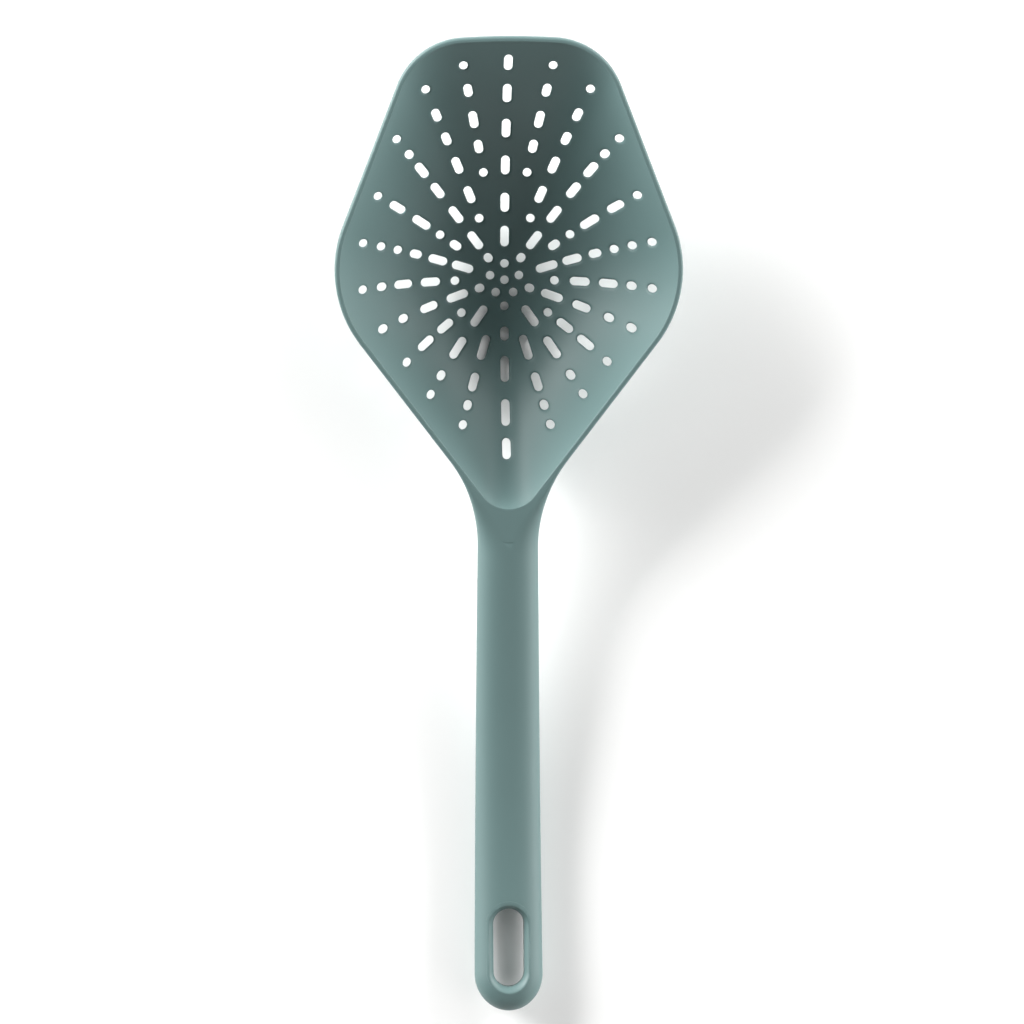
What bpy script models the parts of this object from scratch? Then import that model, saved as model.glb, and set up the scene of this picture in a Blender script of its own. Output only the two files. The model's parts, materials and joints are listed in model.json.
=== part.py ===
"""A perforated scoop skimmer in moulded nylon, lying on a table as it rests by itself.

Metres, +Z up. The bowl lies towards +Y and the handle towards -Y, and the middle of the whole
tool's length and width is at the origin. The head is drawn flat in the plane of its rim, from
the centre of the perforations, and then leans by RIM_TILT so that the front lip stands highest.
Heights in the rim's plane are called w, and are negative below it.
"""

import math

import bmesh
import bpy
from mathutils import Matrix, Vector

MM = 0.001

# Whole tool
OVERALL_LENGTH = 350 * MM
GAP = 0.3 * MM  # clearance wherever one piece seats on another
REST_FLAT = 0.3 * MM  # depth of the flats that the tool rests on

# Head outline, in the plane of the rim. Half widths and reaches go to sharp corners.
RIM_TILT = math.radians(8.75)
FRONT_REACH = 94.8 * MM
FRONT_BOW = 0.8 * MM
FRONT_BOW_RADIUS = 500 * MM
FRONT_HALF_WIDTH = 33.8 * MM
FRONT_CORNER_RADIUS = 24 * MM
SHOULDER_HALF_WIDTH = 68.2 * MM
SHOULDER_REACH = 3.5 * MM
SHOULDER_RADIUS = 44 * MM
TAIL_REACH = 86.1 * MM
TAIL_RADIUS = 11.6 * MM
NECK_RADIUS = 50 * MM

# Rim band, an upside-down L that covers the bowl's edge
RIM_BAND = 1.9 * MM
RIM_SKIN = 1.2 * MM
RIM_SKIRT = 0.9 * MM
RIM_HEIGHT = 4.0 * MM
RIM_EDGE_ROUND = 0.7 * MM

# Bowl
BOWL_DEPTH = 38 * MM
BOWL_WALL = 2.2 * MM
BOWL_POWER = 2.45  # how fast the inside climbs with the distance from the centre
OUTLINE_POWER = 1.5  # how fast the oval middle takes on the outline of the mouth
TANG_WIDTH = 11 * MM
TANG_LENGTH = 22 * MM
TANG_THICKNESS = 2.2 * MM
TANG_ROOT = 0.6 * MM  # how far the tang reaches into the bowl's wall

# Perforations: for each spoke, in degrees from the front, the distance from the centre and the
# length of each opening. An opening as long as it is wide is a round dot.
PERFORATION_WIDTH = 3.0 * MM
PERFORATION_MARGIN = 2.0 * MM
DOT = PERFORATION_WIDTH / MM
CENTRE_SPOKES = {
    0: ((6.5, DOT), (16.5, 7.5), (29, 7), (43, 7), (57.5, 7), (71, 7), (84, 6)),
    180: ((0, DOT), (9, DOT), (19, 5), (31.5, 9), (46.5, 9), (58.5, 7)),
}
PAIRED_SPOKES = {
    12: ((41, DOT), (51, 5), (62, 6.5), (73.5, 5), (84.5, DOT)),
    24: ((25, DOT), (34.5, 6.5), (46, 6.5), (57.5, 5), (68, 5), (79.5, DOT)),
    36: ((10, 3.5), (18.5, 7.5), (30.5, 7), (42, 6.5), (52, 6.5), (60.5, 3.5), (69, DOT)),
    54: ((22, 4.5), (29, DOT), (38, 7.5), (49, 6.5), (58.5, DOT)),
    72: ((6, DOT), (16, 8), (25.5, 7), (34, 4.5), (41, DOT), (48, DOT), (55, DOT)),
    90: ((18, DOT), (26.5, 7), (37, 6.5), (45, 3.5), (52, DOT)),
    108: ((9.5, 3.5), (18, 8), (29, 6.5), (38.5, 3.5), (46.5, 3.5)),
    126: ((19, DOT), (26, 6.5), (35, 6.5), (44, DOT)),
    144: ((5.5, DOT), (15.5, 8.5), (28.5, 8.5), (39, 3.5), (45.5, DOT)),
    162: ((24.5, 9), (37, 6.5), (44.5, 3.5), (51, DOT)),
}

# Handle. Its neck grows out of the rim between two distances from the centre.
NECK_START = 55 * MM
NECK_END = 81 * MM
HANDLE_NECK_WIDTH = 21.8 * MM
HANDLE_END_WIDTH = 24.6 * MM
HANDLE_THICKNESS = 14.5 * MM
HANDLE_WALL = 2.8 * MM
HANDLE_SQUARENESS = 2.8  # 2 is an ellipse, and a large number a rectangle
NECK_SQUARENESS = 8.0
NECK_SINK = 0.45 * MM  # how far the neck's first edge hides inside the rim band
END_ROUND = 13.3 * MM
LOW_POINT_FROM_END = 49 * MM
END_LIFT = 1.4 * MM

# Joint between the two shells
NOSE_REACH = 75 * MM
LAP_WALL = 1.25 * MM
LIP_HEIGHT = 1.5 * MM

# Core, ribs and pegs
CAVITY_START = 84 * MM
CORE_WIDTH = 10 * MM
CORE_STAND = 2.1 * MM  # height of the rib saddles that carry the core, above the back wall
CORE_END_CLEARANCE = 2 * MM
RIB_THICKNESS = 1.8 * MM
RIB_COUNT = 4
PEG_DIAMETER = 4 * MM
PEG_BOSS_DIAMETER = 8 * MM
FRONT_PEG_SETBACK = 10 * MM
REAR_PEG_SETBACK = 7 * MM

# Hanging slot and its sleeve
SLOT_WIDTH = 11.1 * MM
SLOT_LENGTH = 28 * MM
SLOT_FROM_END = 8.8 * MM
SLOT_FLARE = 1.8 * MM
SLEEVE_WALL = 2.4 * MM
COLLAR_STEP = 0.9 * MM
COLLAR_THICKNESS = 1.8 * MM
POCKET_FRONT_WALL = 3.6 * MM

# Fineness of the curved surfaces
ARC_STEP = math.radians(10)
BOWL_COLUMNS = 44
OVAL_TURNS = (0, 90, 180)  # degrees from the front at which the oval middle meets the mouth
BOWL_RINGS = 8
RING_CROWDING = 0.8  # below 1, the bowl's rings lie closer together towards the mouth
PAST_MOUTH = 1.06  # how far the bowl's surface runs on before its edge is trimmed
HOLE_END_SIDES = 4
SECTION_POINTS = 28
HANDLE_STATIONS = 16
NECK_STATIONS = 7
END_STATIONS = 6
PARTING_STATIONS = 24
CORE_STATIONS = 12
FLARE_STATIONS = 3
PEG_SIDES = 16
SHARP_ANGLE = math.radians(40)
MERGE = 1e-6
WELL_CLEAR = 60 * MM  # how far cutters run past what they cut
SIDE_VIEW = Matrix(((0, 0, 1, 0), (1, 0, 0, 0), (0, 1, 0, 0), (0, 0, 0, 1)))  # (x, y) to (y, z)

SAGE = "708883"
SAGE_CORE = "5c6f6b"

# Sizes that follow
CENTRE_Y = (
    OVERALL_LENGTH / 2 - FRONT_REACH * math.cos(RIM_TILT) - RIM_HEIGHT * math.sin(RIM_TILT)
)
END_Y = -OVERALL_LENGTH / 2
EDGE_DROP = RIM_SKIN + GAP
BOWL_EDGE_INSET = RIM_SKIRT + GAP
TANG_DEPTH = HANDLE_WALL + GAP
CORE_DEPTH = TANG_DEPTH + TANG_THICKNESS + GAP
CORE_THICKNESS = HANDLE_THICKNESS - HANDLE_WALL - CORE_STAND - CORE_DEPTH
PARTING_DEPTH = HANDLE_THICKNESS / 2
SLOT_Y = END_Y + SLOT_FROM_END + SLOT_LENGTH / 2
POCKET_LENGTH = SLOT_LENGTH + 2 * (SLEEVE_WALL + GAP)
CAVITY_END_Y = SLOT_Y + POCKET_LENGTH / 2 + POCKET_FRONT_WALL


def clear_scene():
    for obj in list(bpy.data.objects):
        bpy.data.objects.remove(obj)


def new_collection(name):
    collection = bpy.data.collections.new(name)
    bpy.context.scene.collection.children.link(collection)
    return collection


def linear(channel):
    return channel / 12.92 if channel <= 0.04045 else ((channel + 0.055) / 1.055) ** 2.4


def moulded_plastic(name, colour, roughness):
    material = bpy.data.materials.new(name)
    material.use_nodes = True
    shader = material.node_tree.nodes["Principled BSDF"]
    rgb = [linear(int(colour[i : i + 2], 16) / 255) for i in (0, 2, 4)]
    shader.inputs["Base Color"].default_value = (*rgb, 1)
    shader.inputs["Roughness"].default_value = roughness
    shader.inputs["Metallic"].default_value = 0
    return material


# Outlines


def rounded_outline(corners):
    """Points of a closed outline, each of whose corners (x, y, radius) is rounded by an arc."""
    points = []
    for i, (x, y, radius) in enumerate(corners):
        corner = Vector((x, y))
        back = (Vector(corners[i - 1][:2]) - corner).normalized()
        ahead = (Vector(corners[(i + 1) % len(corners)][:2]) - corner).normalized()
        if radius <= 0:
            points.append(corner)
            continue
        half_angle = back.angle(ahead) / 2
        middle = corner + (back + ahead).normalized() * radius / math.sin(half_angle)
        start = corner + back * radius / math.tan(half_angle) - middle
        turn = math.pi - 2 * half_angle
        if back.cross(ahead) > 0:
            turn = -turn
        steps = max(2, math.ceil(abs(turn) / ARC_STEP))
        for k in range(steps + 1):
            points.append(middle + Matrix.Rotation(turn * k / steps, 2) @ start)
    return points


def inset_corners(corners, distance):
    """The corners of the same counter-clockwise outline, moved inwards."""
    moved = []
    for i, (x, y, radius) in enumerate(corners):
        corner = Vector((x, y))
        arriving = (corner - Vector(corners[i - 1][:2])).normalized()
        leaving = (Vector(corners[(i + 1) % len(corners)][:2]) - corner).normalized()
        inward_a = Vector((-arriving.y, arriving.x))
        inward_b = Vector((-leaving.y, leaving.x))
        shift = (inward_a + inward_b) * distance / (1 + inward_a.dot(inward_b))
        new_radius = radius - distance if arriving.cross(leaving) > 0 else radius + distance
        moved.append((x + shift.x, y + shift.y, max(new_radius, MERGE)))
    return moved


def kite_corners():
    """The head without its neck: front edge, shoulders, and lower sides that meet in a tail."""
    right = [
        (FRONT_HALF_WIDTH, FRONT_REACH - FRONT_BOW, FRONT_CORNER_RADIUS),
        (SHOULDER_HALF_WIDTH, SHOULDER_REACH, SHOULDER_RADIUS),
    ]
    left = [(-x, y, radius) for x, y, radius in right]
    front = (0, FRONT_REACH, FRONT_BOW_RADIUS)
    tail = (0, -TAIL_REACH, TAIL_RADIUS)
    return [front, *left, tail, *reversed(right)]


def kite(inset):
    return rounded_outline(inset_corners(kite_corners(), inset))


def reach(outline, angle):
    """How far an outline lies from the centre, at an angle from the front."""
    direction = Vector((math.sin(angle), math.cos(angle)))
    farthest = 0
    for a, b in zip(outline, outline[1:] + outline[:1]):
        edge = b - a
        across = direction.cross(edge)
        if abs(across) < 1e-12:
            continue
        along_edge = a.cross(direction) / -edge.cross(direction)
        distance = a.cross(edge) / across
        if -1e-9 <= along_edge <= 1 + 1e-9 and distance > farthest:
            farthest = distance
    return farthest


def stadium(width, length, centre=(0, 0), angle=0.0, end_sides=8):
    """A slot outline with round ends, its length along Y before it turns by angle."""
    straight = max(length - width, 0) / 2
    turned = Matrix.Rotation(-angle, 2)
    points = []
    for end in (1, -1):
        for k in range(end_sides + 1):
            arc = math.pi * k / end_sides
            if straight == 0 and k == end_sides:
                continue
            point = Vector((math.cos(arc), math.sin(arc))) * end * width / 2
            points.append(turned @ (point + Vector((0, end * straight))) + Vector(centre))
    return points


# Meshes and modifiers


def finish_mesh(bm, name):
    bmesh.ops.remove_doubles(bm, verts=bm.verts, dist=MERGE)
    bmesh.ops.triangulate(bm, faces=bm.faces)
    bmesh.ops.recalc_face_normals(bm, faces=bm.faces)
    mesh = bpy.data.meshes.new(name)
    bm.to_mesh(mesh)
    bm.free()
    return mesh


def place(mesh, name, collection, parent=None):
    obj = bpy.data.objects.new(name, mesh)
    collection.objects.link(obj)
    obj.parent = parent
    if collection is CUTTERS:
        obj.hide_render = True
        obj.display_type = "WIRE"
    return obj


def plate_mesh(name, outlines, low, high):
    """Flat shapes between two heights, from closed outlines."""
    curve = bpy.data.curves.new(name, "CURVE")
    curve.dimensions = "2D"
    curve.fill_mode = "BOTH"
    curve.extrude = (high - low) / 2
    for outline in outlines:
        spline = curve.splines.new("POLY")
        spline.points.add(len(outline) - 1)
        for point, (x, y) in zip(spline.points, outline):
            point.co = (x, y, 0, 1)
        spline.use_cyclic_u = True
    guide = bpy.data.objects.new(name, curve)
    bpy.context.scene.collection.objects.link(guide)
    graph = bpy.context.evaluated_depsgraph_get()
    flat = bpy.data.meshes.new_from_object(guide.evaluated_get(graph))
    bpy.data.objects.remove(guide)
    bpy.data.curves.remove(curve)
    bm = bmesh.new()
    bm.from_mesh(flat)
    bpy.data.meshes.remove(flat)
    bmesh.ops.translate(bm, vec=(0, 0, (low + high) / 2), verts=bm.verts)
    return finish_mesh(bm, name)


def loft_mesh(name, rings):
    """A closed skin through rings of equally many points."""
    bm = bmesh.new()
    loops = [[bm.verts.new(point) for point in ring] for ring in rings]
    for lower, upper in zip(loops, loops[1:]):
        for k in range(len(lower)):
            after = (k + 1) % len(lower)
            bm.faces.new((lower[k], lower[after], upper[after], upper[k]))
    bm.faces.new(loops[0])
    bm.faces.new(loops[-1])
    return finish_mesh(bm, name)


def box_mesh(name, low, high):
    bm = bmesh.new()
    bmesh.ops.create_cube(bm, size=1)
    low, high = Vector(low), Vector(high)
    bmesh.ops.scale(bm, vec=high - low, verts=bm.verts)
    bmesh.ops.translate(bm, vec=(low + high) / 2, verts=bm.verts)
    return finish_mesh(bm, name)


def post_mesh(name, diameter, x, y, low, high):
    bm = bmesh.new()
    bmesh.ops.create_cone(
        bm,
        cap_ends=True,
        segments=PEG_SIDES,
        radius1=diameter / 2,
        radius2=diameter / 2,
        depth=high - low,
    )
    bmesh.ops.translate(bm, vec=(x, y, (low + high) / 2), verts=bm.verts)
    return finish_mesh(bm, name)


def boolean(obj, operation, tool, solver="MANIFOLD"):
    """The thin shells share edges with what cuts them, and only this solver keeps them closed."""
    modifier = obj.modifiers.new(f"{operation.lower()} {tool.name}", "BOOLEAN")
    modifier.operation = operation
    modifier.solver = solver
    modifier.object = tool


def smooth(obj):
    obj.data.shade_smooth()
    obj.data.set_sharp_from_angle(angle=SHARP_ANGLE)


# Bowl surface


def bowl_point(angle, share):
    """A point of the bowl's inside, share of the way from the centre to its mouth."""
    front, side, back = (MOUTH_REACH[turn] for turn in OVAL_TURNS)
    turn = math.radians(angle)
    oval = (front + back + 2 * side) / 4 + (front - back) / 2 * math.cos(turn)
    oval += (front + back - 2 * side) / 4 * math.cos(2 * turn)
    outline = MOUTH_REACH[angle]
    blend = min(share, 1) ** OUTLINE_POWER
    distance = share * (oval + (outline - oval) * blend)
    w = -EDGE_DROP - (BOWL_DEPTH - EDGE_DROP) * (1 - share**BOWL_POWER)
    return Vector((distance * math.sin(turn), distance * math.cos(turn), w))


def bowl_shares(last):
    """Steps from the centre to the mouth, closer together where the wall is steep."""
    steps = [(k / BOWL_RINGS) ** RING_CROWDING for k in range(1, BOWL_RINGS + 1)]
    return steps + [last]


def bowl_angles():
    return [360 * k / BOWL_COLUMNS for k in range(BOWL_COLUMNS)]


def bowl_sheet(name, grow=0):
    """The open inside surface, which runs on past the mouth to be trimmed, or one outside it."""
    bm = bmesh.new()
    centre = bm.verts.new(bowl_point(0, 0))
    rings = [
        [bm.verts.new(bowl_point(angle, share)) for angle in bowl_angles()]
        for share in bowl_shares(PAST_MOUTH)
    ]
    for k in range(BOWL_COLUMNS):
        after = (k + 1) % BOWL_COLUMNS
        bm.faces.new((centre, rings[0][after], rings[0][k]))
        for inner, outer in zip(rings, rings[1:]):
            bm.faces.new((inner[k], inner[after], outer[after], outer[k]))
    bmesh.ops.triangulate(bm, faces=bm.faces)
    bm.normal_update()
    moves = [(vert, vert.normal * vert.calc_shell_factor() * grow) for vert in bm.verts]
    for vert, move in moves:
        vert.co -= move
    mesh = bpy.data.meshes.new(name)
    bm.to_mesh(mesh)
    bm.free()
    return mesh


def rim_height():
    """Height of the rim's plane at the centre, so that the underside rests on the table."""
    leaning = Matrix.Rotation(RIM_TILT, 3, "X")
    lowest = min(
        (leaning @ bowl_point(angle, share)).z
        for angle in bowl_angles()
        for share in bowl_shares(1)
    )
    return BOWL_WALL - REST_FLAT - lowest


def thicken(obj, thickness):
    modifier = obj.modifiers.new("wall", "SOLIDIFY")
    modifier.thickness = thickness
    modifier.offset = -1
    modifier.use_even_offset = True


# Handle surface


def on_rim_plane(distance):
    """World (y, z) of a point of the rim's plane, a distance behind the centre."""
    return (
        CENTRE_Y - distance * math.cos(RIM_TILT),
        RIM_Z - distance * math.sin(RIM_TILT),
    )


def handle_top(y):
    """Height of the handle's front face along the middle."""
    start_y, start_z = on_rim_plane(NECK_END)
    if y >= start_y:
        return start_z + (y - start_y) * math.tan(RIM_TILT)
    low_y = END_Y + LOW_POINT_FROM_END
    low_z = HANDLE_THICKNESS - REST_FLAT
    if y <= low_y:
        return low_z + END_LIFT * ((low_y - y) / LOW_POINT_FROM_END) ** 2
    t = (start_y - y) / (start_y - low_y)
    slope = (start_y - low_y) * math.tan(RIM_TILT)
    return (
        (2 * t**3 - 3 * t**2 + 1) * start_z
        - (t**3 - 2 * t**2 + t) * slope
        + (3 * t**2 - 2 * t**3) * low_z
    )


def neck_corner():
    """Where the lower side of the head would meet the handle's side."""
    share = HANDLE_NECK_WIDTH / 2 / SHOULDER_HALF_WIDTH
    return HANDLE_NECK_WIDTH / 2, -TAIL_REACH + share * (SHOULDER_REACH + TAIL_REACH)


def handle_half_width(y):
    """Half the width seen from above: the neck's fillet, then an even widening."""
    from_centre = (y - CENTRE_Y) / math.cos(RIM_TILT)
    x, corner_y = neck_corner()
    side = Vector((SHOULDER_HALF_WIDTH - x, SHOULDER_REACH - corner_y)).normalized()
    half_angle = side.angle(Vector((0, -1))) / 2
    tangent = NECK_RADIUS / math.tan(half_angle)
    arc_x, arc_y = x + NECK_RADIUS, corner_y - tangent
    if from_centre > corner_y + side.y * tangent:
        width = x + (from_centre - corner_y) * side.x / side.y
    elif from_centre > arc_y:
        width = arc_x - math.sqrt(NECK_RADIUS**2 - (from_centre - arc_y) ** 2)
    else:
        width = x
    neck_y = CENTRE_Y + arc_y * math.cos(RIM_TILT)
    widening = max(0, (neck_y - y) / (neck_y - END_Y - END_ROUND))
    return width + (HANDLE_END_WIDTH - HANDLE_NECK_WIDTH) / 2 * min(widening, 1)


def ease(t):
    t = min(max(t, 0), 1)
    return t * t * (3 - 2 * t)


def section(y, half_width, top, bottom, squareness):
    """A rounded rectangle across the handle at y."""
    middle, half_height = (top + bottom) / 2, (top - bottom) / 2
    ring = []
    for k in range(SECTION_POINTS):
        turn = 2 * math.pi * k / SECTION_POINTS
        c, s = math.cos(turn), math.sin(turn)
        x = half_width * math.copysign(abs(c) ** (2 / squareness), c)
        z = half_height * math.copysign(abs(s) ** (2 / squareness), s)
        ring.append((x, y, middle + z))
    return ring


def handle_section(y, inset):
    """The section of the handle, shrunk by inset, where it has its full thickness."""
    top = handle_top(y) - inset
    bottom = handle_top(y) - HANDLE_THICKNESS + inset
    return section(y, handle_half_width(y) - inset, top, bottom, HANDLE_SQUARENESS)


def neck_section(y):
    """The section where the handle grows out of the rim band, which hides its first edge."""
    start_y, end_y = on_rim_plane(NECK_START)[0], on_rim_plane(NECK_END)[0]
    share = (start_y - y) / (start_y - end_y)
    grown = ease(share)
    sunk = NECK_SINK * (1 - ease(3 * share))
    top = handle_top(y) - sunk
    depth = RIM_HEIGHT + (HANDLE_THICKNESS - RIM_HEIGHT) * grown
    squareness = NECK_SQUARENESS + (HANDLE_SQUARENESS - NECK_SQUARENESS) * grown
    return section(y, handle_half_width(y) - sunk, top, handle_top(y) - depth + sunk, squareness)


def handle_end(inset):
    """The rounded end, closing to a point."""
    centre_y = END_Y + END_ROUND
    rings = []
    for k in range(END_STATIONS + 1):
        turn = math.pi / 2 * k / END_STATIONS
        y = centre_y - (END_ROUND - inset) * math.sin(turn)
        narrowing = max(math.cos(turn), 0) if k < END_STATIONS else 0
        half_width = (HANDLE_END_WIDTH / 2 - inset) * narrowing
        half_height = (HANDLE_THICKNESS / 2 - inset) * math.sqrt(narrowing)
        middle = handle_top(y) - HANDLE_THICKNESS / 2
        rings.append(
            section(y, half_width, middle + half_height, middle - half_height, HANDLE_SQUARENESS)
        )
    return rings


def stations(first, last, count):
    return [first + (last - first) * k / count for k in range(count + 1)]


def handle_rings(first, last, inset, count=HANDLE_STATIONS):
    return [handle_section(y, inset) for y in stations(first, last, count)]


def handle_mesh():
    """The outside of neck and handle."""
    start_y, end_y = on_rim_plane(NECK_START)[0], on_rim_plane(NECK_END)[0]
    neck = [neck_section(y) for y in stations(start_y, end_y, NECK_STATIONS)]
    straight = handle_rings(end_y, END_Y + END_ROUND, 0)
    return loft_mesh("handle_outside", neck + straight[1:] + handle_end(0)[1:])


def inner_handle_mesh(name, inset):
    """The same handle shrunk all round, from the nose of the back shell to the end."""
    straight = handle_rings(NOSE_Y + GAP, END_Y + END_ROUND, inset)
    return loft_mesh(name, straight + handle_end(inset)[1:])


def below_mesh(name, front_y, lift):
    """Everything under the parting line of the two shells, raised by lift."""
    back_y = END_Y - WELL_CLEAR
    line = [
        (y, handle_top(y) - PARTING_DEPTH + lift)
        for y in stations(front_y, END_Y, PARTING_STATIONS)
    ]
    floor = -WELL_CLEAR
    outline = [(back_y, floor), (front_y, floor), *line, (back_y, line[-1][1])]
    mesh = plate_mesh(name, [outline], -WELL_CLEAR, WELL_CLEAR)
    mesh.transform(SIDE_VIEW)
    return mesh


def core_outline(grow):
    """The core's side view, following the handle's middle line."""
    first = FRONT_WALL_Y - CORE_END_CLEARANCE + grow
    last = CAVITY_END_Y + CORE_END_CLEARANCE - grow
    spots = stations(first, last, CORE_STATIONS)
    top = [(y, handle_top(y) - CORE_DEPTH + grow) for y in spots]
    bottom = [(y, z - CORE_THICKNESS - 2 * grow) for y, z in reversed(top)]
    return top + bottom


def core_mesh(name, grow):
    half = CORE_WIDTH / 2 + grow
    mesh = plate_mesh(name, [core_outline(grow)], -half, half)
    mesh.transform(SIDE_VIEW)
    return mesh


# Cutters


def head_plate(name, outlines, low, high):
    return place(plate_mesh(name, outlines, low, high), name, CUTTERS, HEAD)


def cutter(mesh):
    return place(mesh, mesh.name, CUTTERS)


def perforation_outlines():
    """Each opening that keeps its margin to the mouth, left and right alike."""
    spokes = list(CENTRE_SPOKES.items())
    for angle, row in PAIRED_SPOKES.items():
        spokes += [(angle, row), (-angle, row)]
    outlines = []
    mouth = kite(RIM_BAND)
    for angle, row in spokes:
        turn = math.radians(angle)
        limit = reach(mouth, turn) - PERFORATION_MARGIN
        for distance, length in row:
            centre = Vector((math.sin(turn), math.cos(turn))) * distance * MM
            if distance * MM + length * MM / 2 < limit:
                outlines.append(
                    stadium(PERFORATION_WIDTH, length * MM, centre, turn, HOLE_END_SIDES)
                )
    return outlines


def tang_mesh(name, grow):
    """The bowl's tongue under the front of the handle, in the plane of the rim."""
    start = TANG_ROOT - reach(kite(RIM_BAND), math.pi)
    half = TANG_WIDTH / 2 + grow
    return box_mesh(
        name,
        (-half, start - TANG_LENGTH - grow, -TANG_DEPTH - TANG_THICKNESS - grow),
        (half, start, -TANG_DEPTH + grow),
    )


def slot_mesh(name):
    """The hanging slot: a narrow waist that flares to both faces."""
    top, bottom = handle_top(SLOT_Y), handle_top(SLOT_Y) - HANDLE_THICKNESS
    levels = [(bottom - WELL_CLEAR, SLOT_FLARE)]
    for face, inwards in ((bottom, 1), (top, -1)):
        curve = []
        for k in range(FLARE_STATIONS + 1):
            turn = math.pi / 2 * k / FLARE_STATIONS
            depth = SLOT_FLARE * (1 - math.cos(turn))
            curve.append((face + inwards * depth, SLOT_FLARE * (1 - math.sin(turn))))
        levels += curve[::inwards]
    levels.append((top + WELL_CLEAR, SLOT_FLARE))
    rings = []
    for z, flare in levels:
        outline = stadium(SLOT_WIDTH + 2 * flare, SLOT_LENGTH + 2 * flare, (0, SLOT_Y))
        rings.append([(x, y, z) for x, y in outline])
    return loft_mesh(name, rings)


def slot_plate(name, grow, low, high):
    outline = stadium(SLOT_WIDTH + 2 * grow, SLOT_LENGTH + 2 * grow, (0, SLOT_Y))
    return plate_mesh(name, [outline], low, high)


def collar_plate(name, grow):
    middle = handle_top(SLOT_Y) - PARTING_DEPTH
    half = COLLAR_THICKNESS / 2 + grow
    return slot_plate(name, SLEEVE_WALL + COLLAR_STEP + grow, middle - half, middle + half)


def make_bowl(shared):
    bowl = place(bowl_sheet("bowl"), "bowl", PARTS, HEAD)
    thicken(bowl, BOWL_WALL)
    edge = head_plate("bowl_edge", [kite(BOWL_EDGE_INSET)], -2 * WELL_CLEAR, -EDGE_DROP)
    tang = place(tang_mesh("tang", 0), "tang", CUTTERS, HEAD)
    holes = perforation_outlines()
    perforations = head_plate("perforations", holes, -2 * WELL_CLEAR, WELL_CLEAR)
    boolean(bowl, "INTERSECT", edge)
    boolean(bowl, "UNION", tang)
    for tool in (perforations, shared["peg_holes"], shared["table"]):
        boolean(bowl, "DIFFERENCE", tool)
    return bowl


def bowl_seat():
    """The room that the bowl takes under the rim, with its clearance all round."""
    seat = place(bowl_sheet("bowl_seat", BOWL_WALL + GAP), "bowl_seat", CUTTERS, HEAD)
    bm = bmesh.new()
    bm.from_mesh(seat.data)
    rim = [edge for edge in bm.edges if edge.is_boundary]
    lid = bmesh.ops.extrude_edge_only(bm, edges=rim)["geom"]
    raised = [item for item in lid if isinstance(item, bmesh.types.BMVert)]
    for vert in raised:
        vert.co.z = WELL_CLEAR
    top = [edge for edge in bm.edges if edge.is_boundary]
    bmesh.ops.contextual_create(bm, geom=top)
    bmesh.ops.triangulate(bm, faces=bm.faces)
    bmesh.ops.recalc_face_normals(bm, faces=bm.faces)
    bm.to_mesh(seat.data)
    bm.free()
    trim = head_plate("seat_edge", [kite(RIM_SKIRT)], -2 * WELL_CLEAR, -RIM_SKIN)
    boolean(seat, "INTERSECT", trim)
    return seat


def handle_interior(shell, shared):
    """Hollows a shell, adds its ribs and bosses, and cuts the seats of the inner pieces."""
    boolean(shell, "DIFFERENCE", shared["cavity"])
    boolean(shell, "UNION", shared["ribs"])
    for name in ("core_seat", "tang_seat", "bowl_seat", "sleeve_seat", "collar_seat"):
        boolean(shell, "DIFFERENCE", shared[name])


def make_rim_frame(shared):
    """Rim band, neck and the front half of the handle."""
    band = plate_mesh("rim_frame", [band_outline()], -RIM_HEIGHT, 0)
    round_upper_edge(band)
    frame = place(band, "rim_frame", PARTS, HEAD)
    boolean(frame, "UNION", cutter(handle_mesh()))
    handle_interior(frame, shared)
    mouth = head_plate("mouth", [kite(RIM_BAND)], -EDGE_DROP - GAP, WELL_CLEAR)
    boolean(frame, "DIFFERENCE", mouth)
    boolean(frame, "DIFFERENCE", shared["peg_holes"])
    boolean(frame, "DIFFERENCE", below("back_room", GAP))
    return frame


def band_outline():
    """The head's outline, closed by a straight edge where the neck takes over."""
    cut_y = -(NECK_START + NECK_END) / 2
    points = []
    outline = kite(0)
    for a, b in zip(outline, outline[1:] + outline[:1]):
        if (a.y - cut_y) * (b.y - cut_y) < 0:
            points.append(a.lerp(b, (cut_y - a.y) / (b.y - a.y)))
        if b.y > cut_y:
            points.append(b)
    return points


def round_upper_edge(mesh):
    bm = bmesh.new()
    bm.from_mesh(mesh)
    upper = [
        edge
        for edge in bm.edges
        if all(abs(v.co.z) < MERGE for v in edge.verts)
        and abs(edge.calc_face_angle(0)) > math.radians(60)
    ]
    bmesh.ops.bevel(
        bm, geom=upper, offset=RIM_EDGE_ROUND, segments=2, profile=0.5, affect="EDGES"
    )
    bmesh.ops.triangulate(bm, faces=bm.faces)
    bm.to_mesh(mesh)
    bm.free()


def below(name, grow):
    """The back shell's room: under the parting line, with the lip standing inside the wall."""
    room = cutter(below_mesh(name, NOSE_Y + grow, grow))
    lip = cutter(inner_handle_mesh(name + "_lip", LAP_WALL + GAP - grow))
    limit = cutter(below_mesh(name + "_limit", NOSE_Y + grow, LIP_HEIGHT + grow))
    boolean(lip, "INTERSECT", limit)
    boolean(room, "UNION", lip)
    return room


def make_back_shell(shared):
    shell = place(handle_mesh(), "handle_back_shell", PARTS)
    handle_interior(shell, shared)
    boolean(shell, "INTERSECT", below("back_zone", 0))
    boolean(shell, "UNION", shared["pegs"])
    boolean(shell, "DIFFERENCE", shared["table"])
    return shell


def make_core(shared):
    core = place(core_mesh("handle_core", 0), "handle_core", PARTS)
    boolean(core, "DIFFERENCE", shared["peg_holes"], "EXACT")
    return core


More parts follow.
